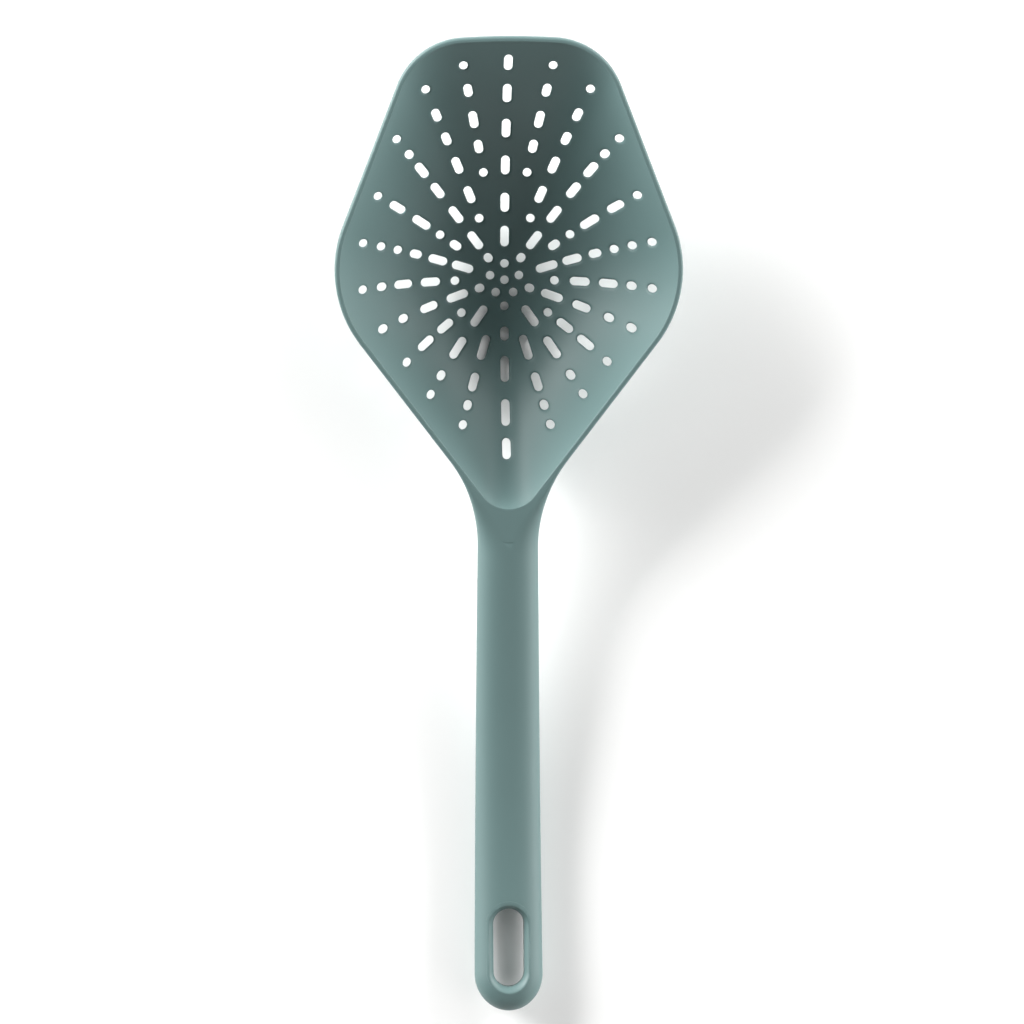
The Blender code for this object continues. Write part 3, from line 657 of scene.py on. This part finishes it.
def make_scoop(material):
    """The perforated scoop, its edge trimmed upright under the band."""
    bm = bowl_sheet()
    bmesh.ops.reverse_faces(bm, faces=bm.faces)
    outside = bowl_sheet(BOWL_WALL)
    outer = bpy.data.meshes.new("scoop_outside")
    outside.to_mesh(outer)
    outside.free()
    bm.from_mesh(outer)
    rims = [edge for edge in bm.edges if edge.is_boundary]
    bmesh.ops.bridge_loops(bm, edges=rims)
    scoop = new_object("scoop_shell", mesh_of(bm, "scoop_shell"))
    edge = head_plate("scoop_edge", RIM_SKIRT + SEAM, -2 * WELL_CLEAR, -MOUTH_STEP)
    boolean(scoop, "INTERSECT", edge)
    perforate(scoop, material)
    apply_modifiers(scoop)
    return settled(scoop)


# Frame: the rim band, the neck and the handle as one smooth skin


def handle_top(y):
    """Height of the front face along the middle.

    It leaves the neck at the rim's slope, runs smoothly down to the handle's lowest point, and
    rises again from there to the tip.
    """
    start_y = CENTRE_Y - NECK_END * math.cos(RIM_TILT)
    start_z = RIM_Z - NECK_END * math.sin(RIM_TILT)
    if y >= start_y:
        return start_z + (y - start_y) * math.tan(RIM_TILT)
    low_y = END_Y + LOW_POINT_FROM_END
    low_z = HANDLE_THICKNESS - REST_FLAT
    if y <= low_y:
        return low_z + END_LIFT * ((low_y - y) / LOW_POINT_FROM_END) ** 2
    t = (start_y - y) / (start_y - low_y)
    slope = (start_y - low_y) * math.tan(RIM_TILT)
    return (
        (2 * t**3 - 3 * t**2 + 1) * start_z
        - (t**3 - 2 * t**2 + t) * slope
        + (3 * t**2 - 2 * t**3) * low_z
    )


def plan_y(v):
    return CENTRE_Y + v * math.cos(RIM_TILT)


def neck_growth(v):
    """0 where the neck leaves the rim band, 1 where it has become the handle."""
    return ease((-v - NECK_START) / (NECK_END - NECK_START))


def skin_point(x, v, depth):
    """A point below the front face, square to the rim's plane in the head, upright in the handle."""
    y = plan_y(v)
    lean = 1 - neck_growth(v)
    across = depth * math.sin(RIM_TILT) * lean
    down = depth * (1 + (math.cos(RIM_TILT) - 1) * lean)
    return Vector((x, y + across, handle_top(y) - down))


def neck_curve():
    """The fillet between the head's side and the handle: its centre and its two ends."""
    x = HANDLE_NECK_WIDTH / 2
    corner_v = -TAIL_REACH + x / SHOULDER_HALF_WIDTH * (SHOULDER_REACH + TAIL_REACH)
    side = Vector((SHOULDER_HALF_WIDTH - x, SHOULDER_REACH - corner_v)).normalized()
    half_angle = side.angle(Vector((0, -1))) / 2
    tangent = NECK_RADIUS / math.tan(half_angle)
    upper = Vector((x, corner_v)) + side * tangent
    lower = Vector((x, corner_v - tangent))
    return lower + Vector((NECK_RADIUS, 0)), upper, lower


def superellipse(squareness, count):
    """Points of a quarter from (1, 0) to (0, 1), evenly along the curve."""
    dense = []
    for k in range(CURVE_CHORDS + 1):
        turn = math.pi / 2 * k / CURVE_CHORDS
        c, s = max(math.cos(turn), 0), math.sin(turn)
        dense.append(Vector((c ** (2 / squareness), s ** (2 / squareness))))
    lengths = [0]
    for a, b in zip(dense, dense[1:]):
        lengths.append(lengths[-1] + (b - a).length)
    points, at = [], 0
    for k in range(count + 1):
        goal = lengths[-1] * k / count
        while at < CURVE_CHORDS - 1 and lengths[at + 1] < goal:
            at += 1
        run = lengths[at + 1] - lengths[at]
        points.append(dense[at].lerp(dense[at + 1], (goal - lengths[at]) / run))
    return points


def head_stations():
    """Outline points of the right half from the front's middle to the neck, with inward normals."""
    outline = list(reversed(kite(0)))
    start = min(range(len(outline)), key=lambda i: (outline[i].y < 0, abs(outline[i].x)))
    ordered = outline[start:] + outline[:start]
    _, upper, _ = neck_curve()
    points = [Vector((0, FRONT_REACH - bow_drop()))]
    for p in ordered:
        if p.x > NEXT_TO and p.y > upper.y + NEXT_TO:
            points.append(p)
    points.append(upper)
    dense = [points[0]]
    for a, b in zip(points, points[1:]):
        pieces = max(1, math.ceil((b - a).length / STRAIGHT_STEP))
        dense += [a.lerp(b, k / pieces) for k in range(1, pieces + 1)]
    stations = []
    for i, p in enumerate(dense):
        before = dense[i - 1] if i else Vector((-dense[1].x, dense[1].y))
        after = dense[i + 1] if i + 1 < len(dense) else p + (p - before)
        along = (after - before).normalized()
        stations.append((p, Vector((along.y, -along.x))))
    return stations


def bow_drop():
    """How far the bowed front edge stays short of its sharp middle."""
    slope = math.atan(FRONT_BOW / FRONT_HALF_WIDTH)
    return FRONT_BOW_RADIUS * (1 / math.cos(slope) - 1)


def neck_stations():
    """Outline points along the fillet from the head to the handle, with inward normals."""
    centre, upper, _ = neck_curve()
    first = math.atan2(upper.y - centre.y, upper.x - centre.x)
    steps = math.ceil((math.pi - first) / NECK_ARC_STEP)
    stations = []
    for k in range(1, steps + 1):
        turn = first + (math.pi - first) * k / steps
        outward = Vector((math.cos(turn), math.sin(turn)))
        stations.append((centre + outward * NECK_RADIUS, outward))
    return stations


def handle_half_width(v):
    lower_v = neck_curve()[2].y
    end_v = (END_Y + END_ROUND - CENTRE_Y) / math.cos(RIM_TILT)
    widening = min(max((lower_v - v) / (lower_v - end_v), 0), 1)
    return HANDLE_NECK_WIDTH / 2 + (HANDLE_END_WIDTH - HANDLE_NECK_WIDTH) / 2 * widening


def handle_size(y):
    """Half width and half height of the handle's cross-section."""
    end = (END_Y + END_ROUND - y) / END_ROUND
    if end <= 0:
        return handle_half_width((y - CENTRE_Y) / math.cos(RIM_TILT)), PARTING_DEPTH
    narrowing = math.sqrt(max(1 - end**2, 0))
    return HANDLE_END_WIDTH / 2 * narrowing, PARTING_DEPTH * narrowing**END_DOME


def handle_face(x, y, side):
    """Height of the front face (side 1) or of the back face (side -1)."""
    half_width, half_height = handle_size(y)
    share = min(abs(x) / half_width, 1)
    rise = half_height * (1 - share**HANDLE_SQUARENESS) ** (1 / HANDLE_SQUARENESS)
    return handle_top(y) - PARTING_DEPTH + side * rise


def section(x, v, normal, growth, full=PARTING_DEPTH):
    """One station's loop from the middle of the front face, round the outline, to the back."""
    rolled = ease((-v - ROLL_START) / (ROLL_END - ROLL_START)) ** ROLL_DELAY
    squareness = OVAL + (HANDLE_SQUARENESS - OVAL) * rolled
    roll = RIM_ROLL + (x_reach(x, normal) - RIM_ROLL) * rolled
    drop = RIM_ROLL_DROP + (full - RIM_ROLL_DROP) * rolled
    foot_roll = RIM_FOOT_ROUND + (x_reach(x, normal) - RIM_FOOT_ROUND) * growth
    foot_rise = RIM_FOOT_ROUND + (full - RIM_FOOT_ROUND) * growth
    thickness = RIM_HEIGHT + (2 * full - RIM_HEIGHT) * growth
    top = (PARTING_DEPTH - full) * growth
    quarter = superellipse(squareness, ROLL_ROWS)
    front = [(roll * (1 - a), top + drop * (1 - b)) for a, b in reversed(quarter)]
    back = [
        (foot_roll * (1 - a), top + thickness - foot_rise * (1 - b)) for a, b in quarter
    ]
    loop = []
    origin = Vector((x, v))
    for inward, depth in front + back:
        p = origin + normal * inward
        loop.append((p.x, p.y, depth))
    to_front = reversed(inward_run(loop[0], normal))
    return [skin_point(*p) for p in (*to_front, *loop, *inward_run(loop[-1], normal))]


def inward_run(start, normal):
    """Points from where a station's face stops rolling to the tool's middle, met squarely."""
    x, v, depth = start
    if v > BRIDGE_START:
        v_middle = v * BRIDGE_SHARE
    else:
        v_middle = v + x / 2 * normal.y / -normal.x
    points = []
    for k in range(1, BRIDGE_PARTS + 1):
        left = 1 - k / BRIDGE_PARTS
        points.append((x * left, v_middle + (v - v_middle) * left**2, depth))
    return points


def x_reach(x, normal):
    """How far the middle lies from the outline, along the inward normal."""
    return x / max(-normal.x, LEAST_SLOPE)


def skin_sections():
    """The right half's loops, from the front lip to the handle's tip."""
    sections = []
    for p, normal in head_stations() + neck_stations():
        sections.append(section(p.x, p.y, normal, neck_growth(p.y)))
    straight_start = neck_stations()[-1][0].y
    straight_end = (END_Y + END_ROUND - CENTRE_Y) / math.cos(RIM_TILT)
    count = math.ceil((straight_start - straight_end) / HANDLE_STEP)
    inward = Vector((-1, 0))
    for v in spread(straight_start, straight_end, count)[1:]:
        sections.append(section(handle_half_width(v), v, inward, neck_growth(v)))
    for k in range(1, END_STATIONS + 1):
        turn = math.pi / 2 * (1 - (1 - k / END_STATIONS) ** END_CROWDING)
        y = END_Y + END_ROUND - END_ROUND * math.sin(turn)
        half_width, half_height = handle_size(y)
        v = (y - CENTRE_Y) / math.cos(RIM_TILT)
        sections.append(section(half_width, v, inward, 1, half_height))
    return sections


def frame_skin(name):
    """The closed outside of rim, neck and handle, with the mouth still filled."""
    bm = bmesh.new()
    for side in (1, -1):
        grid = [
            [bm.verts.new((p.x * side, p.y, p.z)) for p in loop] for loop in skin_sections()
        ]
        for near, far in zip(grid, grid[1:]):
            for k in range(len(near) - 1):
                corners = (near[k], near[k + 1], far[k + 1], far[k])
                bm.faces.new(corners if side > 0 else corners[::-1])
    return new_object(name, mesh_of(bm, name))


def mouth_cutter():
    """The opening over the scoop, flared by the rounding of the band's inner edge."""
    curve = [math.radians(a) for a in reversed(LIP_TURNS)]
    steps = [(RIM_BAND, -MOUTH_STEP - JUST_CLEAR)]
    steps += [
        (RIM_BAND - MOUTH_ROUND * (1 - math.sin(a)), MOUTH_ROUND * (math.cos(a) - 1))
        for a in curve
    ]
    last_inset, last_w = steps[-1]
    flare = (MOUTH_ROUND - (RIM_BAND - last_inset)) * (HARDLY_CLEAR - last_w) / -last_w
    steps += [(last_inset - flare, HARDLY_CLEAR), (last_inset - flare, WELL_CLEAR)]
    rings = [[(p.x, p.y, w) for p in kite(inset)] for inset, w in steps]
    return settled(loft("mouth", rings))


def scoop_seat():
    """The room of the scoop's wall, up to the band's skin."""
    bm = capped(bowl_sheet(BOWL_WALL + SEAM / 2), WELL_CLEAR)
    seat = new_object("scoop_seat", mesh_of(bm, "scoop_seat"))
    edge = head_plate("seat_edge", RIM_SKIRT, -2 * WELL_CLEAR, SEAM - MOUTH_STEP)
    boolean(seat, "INTERSECT", edge)
    return settled(apply_modifiers(seat))


def side_plate(name, outline):
    """A prism across the tool, from an outline of (y, z)."""
    return loft(name, [[(x, y, z) for y, z in outline] for x in (-WELL_CLEAR, WELL_CLEAR)])


def back_room(name, grow):
    """Everything under the parting line of the two shells."""
    nose = CENTRE_Y - NOSE_REACH * math.cos(RIM_TILT) + grow
    line = [(y, handle_top(y) - PARTING_DEPTH + grow) for y in spread(nose, END_Y, PARTING_STATIONS)]
    outside = END_Y - WELL_CLEAR
    floor = -WELL_CLEAR
    outline = [(outside, floor), (nose, floor), *line, (outside, line[-1][1])]
    return side_plate(name, outline)


def cavity():
    """The hollow of the handle, from behind the neck to the slot's wall."""
    front = CENTRE_Y - CAVITY_START * math.cos(RIM_TILT)
    back = SLOT_Y + SLOT_LENGTH / 2 + POCKET_WALL + SLOT_FLARE
    rings = []
    for y in spread(front, back, CAVITY_STATIONS):
        v = (y - CENTRE_Y) / math.cos(RIM_TILT)
        half = handle_half_width(v) - HANDLE_WALL
        half_height = PARTING_DEPTH - HANDLE_WALL
        middle = handle_top(y) - PARTING_DEPTH
        ring = []
        for k in range(CAVITY_SIDES):
            turn = 2 * math.pi * k / CAVITY_SIDES
            c, s = math.cos(turn), math.sin(turn)
            x = half * math.copysign(abs(c) ** (2 / HANDLE_SQUARENESS), c)
            z = half_height * math.copysign(abs(s) ** (2 / HANDLE_SQUARENESS), s)
            ring.append((x, y, middle + z))
        rings.append(ring)
    return loft("hollow", rings)


def slot_plate(name, grow):
    """An upright block of the slot's outline, grown all round."""
    outline = stadium(SLOT_WIDTH + 2 * grow, SLOT_LENGTH + 2 * grow, SLOT_Y)
    return loft(name, [[(x, y, z) for x, y in outline] for z in (-WELL_CLEAR, WELL_CLEAR)])


def slot_cutter():
    """The hanging slot: a narrow waist that flares to both faces and follows their slope."""
    edge = SLOT_FLARE + FLARE_EDGE_ROUND
    top = -FLARE_EDGE_START * FLARE_EDGE_ROUND
    first = FLARE_EDGE_END * FLARE_EDGE_ROUND
    levels = [(1, -WELL_CLEAR, edge), (1, top, edge)]
    for k in range(FLARE_STATIONS + 1):
        turn = math.pi / 2 * k / FLARE_STATIONS
        steep = FLARE_STEEPNESS * math.sin(turn) + (1 - FLARE_STEEPNESS) * (1 - math.cos(turn))
        depth = first + (FLARE_DEPTH - first) * steep
        levels.append((1, depth, SLOT_FLARE * (1 - math.sin(turn))))
    levels += [(-1, depth, flare) for _, depth, flare in reversed(levels)]
    rings = []
    for side, depth, flare in levels:
        centre_y = SLOT_Y - FLARE_OFFSET * flare / SLOT_FLARE
        outline = stadium(SLOT_WIDTH + 2 * flare, SLOT_LENGTH + 2 * flare, centre_y)
        rings.append([(x, y, handle_face(x, y, side) - side * depth) for x, y in outline])
    return loft("slot", rings)


def dimple_cutter():
    """The lens that leaves the shallow gate mark on the front of the neck."""
    radius = (DIMPLE_RADIUS**2 + DIMPLE_DEPTH**2) / (2 * DIMPLE_DEPTH)
    centre_z = handle_top(DIMPLE_Y) + radius - DIMPLE_DEPTH
    half_angle = DIMPLE_OVERREACH * math.asin(DIMPLE_RADIUS / radius)
    rings = []
    for k in range(1, DIMPLE_RINGS + 1):
        turn = half_angle * k / DIMPLE_RINGS
        circle = [2 * math.pi * i / DIMPLE_SIDES for i in range(DIMPLE_SIDES)]
        across, z = radius * math.sin(turn), centre_z - radius * math.cos(turn)
        rings.append([(across * math.cos(a), DIMPLE_Y + across * math.sin(a), z) for a in circle])
    return loft("dimple", rings)


def table_plate():
    """Everything below the table's top, which gives the tool the flats that it rests on."""
    far = OVERALL_LENGTH
    corners = [(-far, -far), (far, -far), (far, far), (-far, far)]
    return loft("table_top", [[(x, y, z) for x, y in corners] for z in (-WELL_CLEAR, 0)])


def make_frame_pieces(table_top):
    """The front moulding with the rim, the back of the handle, and the liner of the slot."""
    hollow = cavity()
    seat = scoop_seat()
    pocket = slot_plate("liner_pocket", LINER_REACH + LINER_SEAM)
    front = frame_skin("rim_and_handle_front")
    for tool in (mouth_cutter(), seat, back_room("room", SEAM), hollow, pocket, dimple_cutter()):
        boolean(front, "DIFFERENCE", tool)
    back = frame_skin("handle_back")
    boolean(back, "INTERSECT", back_room("zone", 0))
    for tool in (seat, hollow, pocket, table_top):
        boolean(back, "DIFFERENCE", tool)
    liner = frame_skin("slot_liner")
    boolean(liner, "INTERSECT", slot_plate("liner_zone", LINER_REACH))
    for tool in (slot_cutter(), table_top):
        boolean(liner, "DIFFERENCE", tool)
    return [apply_modifiers(piece) for piece in (front, back, liner)]


# Finishes


def linear_colour(code):
    """An sRGB hex colour as the linear values that shaders take."""
    channels = [int(code[i : i + 2], 16) / 255 for i in (0, 2, 4)]
    return (*[c / 12.92 if c <= 0.04045 else ((c + 0.055) / 1.055) ** 2.4 for c in channels], 1)


SAGE = "597271"
SAGE_DEEP = "556D6C"
SHADE_SIZE = 45
GRAIN_SIZE = 0.35
GRAIN_DEPTH = 0.03
CORE_GREY = "4A5755"
FIBRE_GREY = "6F7B79"
FIBRE_SIZE = 0.5
FIBRE_DEPTH = 0.05
NYLON_IOR = 1.53
TABLE_WHITE = "F6F6F5"


def new_material(name):
    """A material with its node tree and its shader."""
    material = bpy.data.materials.new(name)
    material.use_nodes = True
    return material, material.node_tree, material.node_tree.nodes["Principled BSDF"]


def noise(tree, size, detail):
    """Noise over a piece, its pattern of a size in millimetres."""
    place = add_node(tree, "ShaderNodeTexCoord").outputs["Object"]
    inputs = {"Vector": place, "Scale": 1 / (size * MM), "Detail": detail}
    return add_node(tree, "ShaderNodeTexNoise", None, inputs).outputs["Fac"]


def bumped(tree, shader, height, strength, depth):
    """Roughens a shader's surface by a height, its relief of a depth in millimetres."""
    inputs = {"Strength": strength, "Distance": depth * MM, "Height": height}
    bump = add_node(tree, "ShaderNodeBump", None, inputs)
    tree.links.new(bump.outputs["Normal"], shader.inputs["Normal"])


def two_tone(tree, shader, share, first, second):
    """Mixes a shader's base colour from two hex colours."""
    inputs = {"Factor": share, 6: linear_colour(first), 7: linear_colour(second)}
    mix = add_node(tree, "ShaderNodeMix", {"data_type": "RGBA"}, inputs)
    tree.links.new(mix.outputs[2], shader.inputs["Base Color"])


def soft_touch_nylon():
    """Moulded nylon with a soft-touch surface, eroded fine in the mould: it scatters light in a
    broad, dull sheen, with a faint grain up close and slow, slight changes of shade."""
    material, tree, shader = new_material("soft_touch_nylon")
    cloud = noise(tree, SHADE_SIZE, 2.0)
    two_tone(tree, shader, cloud, SAGE_DEEP, SAGE)
    bumped(tree, shader, noise(tree, GRAIN_SIZE, 3.0), 0.12, GRAIN_DEPTH)
    inputs = {"Value": cloud, "To Min": 0.5, "To Max": 0.56}
    rough = add_node(tree, "ShaderNodeMapRange", None, inputs)
    tree.links.new(rough.outputs["Result"], shader.inputs["Roughness"])
    shader.inputs["IOR"].default_value = NYLON_IOR
    shader.inputs["Sheen Weight"].default_value = 0.12
    shader.inputs["Sheen Roughness"].default_value = 0.4
    return material


def glass_filled_nylon():
    """Moulded nylon with chopped glass fibre: dull and grey, with paler fibre ends all over."""
    material, tree, shader = new_material("glass_filled_nylon")
    fibres = noise(tree, FIBRE_SIZE, 4.0)
    inputs = {"Value": fibres, "From Min": 0.5, "From Max": 0.75}
    share = add_node(tree, "ShaderNodeMapRange", None, inputs).outputs["Result"]
    two_tone(tree, shader, share, CORE_GREY, FIBRE_GREY)
    bumped(tree, shader, fibres, 0.3, FIBRE_DEPTH)
    shader.inputs["Roughness"].default_value = 0.68
    shader.inputs["IOR"].default_value = NYLON_IOR
    return material


def table_white():
    """Matt white painted board, seamless and almost shadowless."""
    material, _, shader = new_material("table_white")
    shader.inputs["Base Color"].default_value = linear_colour(TABLE_WHITE)
    shader.inputs["Roughness"].default_value = 0.9
    return material


# Building


RIM_Z = rim_height()
HEAD_POSE = Matrix.Translation((0, CENTRE_Y, RIM_Z)) @ Matrix.Rotation(RIM_TILT, 4, "X")


def clean(mesh):
    """Takes away the slivers that the cuts leave, and spare points along straight edges."""
    bm = bmesh.new()
    bm.from_mesh(mesh)
    bmesh.ops.remove_doubles(bm, verts=bm.verts, dist=SLIVER)
    bmesh.ops.dissolve_degenerate(bm, edges=bm.edges, dist=SLIVER)
    spare = [vert for vert in bm.verts if len(vert.link_edges) == 2]
    spare = [vert for vert in spare if vert.calc_edge_angle() < ALL_BUT_STRAIGHT]
    bmesh.ops.dissolve_verts(bm, verts=spare)
    bm.to_mesh(mesh)
    bm.free()


def finish_piece(obj, node, material):
    """Brings a piece from millimetres to metres, gives it its material, smooths it, attaches it to
    the root body, and hides the imported part that it stands for.
    """
    clean(obj.data)
    obj.data.transform(Matrix.Scale(MM, 4))
    obj.data.materials.clear()
    obj.data.materials.append(material)
    obj.data.shade_smooth()
    obj.data.set_sharp_from_angle(angle=SHARP_ANGLE)
    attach(obj, "root")
    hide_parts(node)


def remove_tools(kept):
    """Removes the cutters and guides."""
    for obj in list(bpy.data.objects):
        if obj.type == "MESH" and obj not in kept and obj.name not in frame["nodes"]:
            bpy.data.objects.remove(obj)


nylon = soft_touch_nylon()
table_top = table_plate()
scoop = make_scoop(nylon)
boolean(scoop, "DIFFERENCE", table_top)
apply_modifiers(scoop)
front, back, liner = make_frame_pieces(table_top)
remove_tools((scoop, front, back, liner))
finish_piece(scoop, "bowl", nylon)
finish_piece(front, "rim_frame", nylon)
finish_piece(back, "handle_back_shell", nylon)
finish_piece(liner, "slot_sleeve", nylon)
core = frame["nodes"]["handle_core"]
core.data.materials.clear()
core.data.materials.append(glass_filled_nylon())

# Table, light and camera

FLOOR_SIZE = 6.0
FLOOR_DROP = 0.2 * MM  # keeps the table's top clear of the flats that rest on it
LIGHT_DISTANCE = 2.2
WORLD_STRENGTH = 0.02
# Soft panels round the table: azimuth and elevation in degrees, width and height in metres, and
# power in watts
PANELS = {
    "key_left": (145, 19, 1.6, 1.2, 127),
    "fill_right": (30, 15, 1.0, 1.3, 68),
    "low_right": (0, 6, 1.0, 1.0, 27),
    "low_left": (180, 6, 1.0, 1.0, 6),
    "low_front": (270, 12, 1.0, 1.2, 9),
    "high_front": (270, 50, 1.2, 1.2, 5),
    "front_right": (330, 24, 1.0, 1.0, 9),
    "back": (50, 38, 1.4, 1.0, 9),
}
CAMERA_DISTANCE = 3.2
VIEW_CENTRE = Vector((1.3, 4.9, 26)) * MM
VIEW_TILT = math.radians(2.5)
VIEW_ROLL = math.radians(-0.3)
FRAME_WIDTH = 367.616 * MM  # how much of the table the camera sees
SENSOR_WIDTH = 36
CLIP_END = 20


def make_floor():
    bm = bmesh.new()
    height = Matrix.Translation((0, 0, -FLOOR_DROP))
    bmesh.ops.create_grid(bm, x_segments=1, y_segments=1, size=FLOOR_SIZE / 2, matrix=height)
    mesh = bpy.data.meshes.new("floor")
    bm.to_mesh(mesh)
    bm.free()
    mesh.materials.append(table_white())
    new_object("floor", mesh)


def make_light(name, azimuth, elevation, width, height, power):
    """A soft panel, at an azimuth from +X towards +Y and an elevation over the table."""
    lamp = bpy.data.lights.new(name, "AREA")
    lamp.shape = "RECTANGLE"
    lamp.size = width
    lamp.size_y = height
    lamp.energy = power
    light = bpy.data.objects.new(name, lamp)
    bpy.context.scene.collection.objects.link(light)
    turn, rise = math.radians(azimuth), math.radians(elevation)
    away = Vector((math.cos(turn) * math.cos(rise), math.sin(turn) * math.cos(rise), math.sin(rise)))
    light.location = away * LIGHT_DISTANCE
    light.rotation_mode = "QUATERNION"
    light.rotation_quaternion = away.to_track_quat("Z", "Y")


def make_camera():
    lens = bpy.data.cameras.new("camera")
    camera = bpy.data.objects.new("camera", lens)
    bpy.context.scene.collection.objects.link(camera)
    turn = Quaternion((0, 1, 0), -VIEW_TILT) @ Quaternion((0, 0, 1), VIEW_ROLL)
    camera.location = VIEW_CENTRE + turn @ Vector((0, 0, CAMERA_DISTANCE))
    camera.rotation_mode = "QUATERNION"
    camera.rotation_quaternion = turn
    lens.sensor_width = SENSOR_WIDTH
    lens.lens = SENSOR_WIDTH * CAMERA_DISTANCE / FRAME_WIDTH
    lens.clip_end = CLIP_END
    bpy.context.scene.camera = camera


make_floor()
for name, panel in PANELS.items():
    make_light(name, *panel)
make_camera()
world = bpy.data.worlds.new("studio")
world.use_nodes = True
background = world.node_tree.nodes["Background"]
background.inputs["Color"].default_value = (1, 1, 1, 1)
background.inputs["Strength"].default_value = WORLD_STRENGTH
bpy.context.scene.world = world
bpy.context.scene.view_settings.view_transform = "Standard"

bpy.context.view_layer.update()
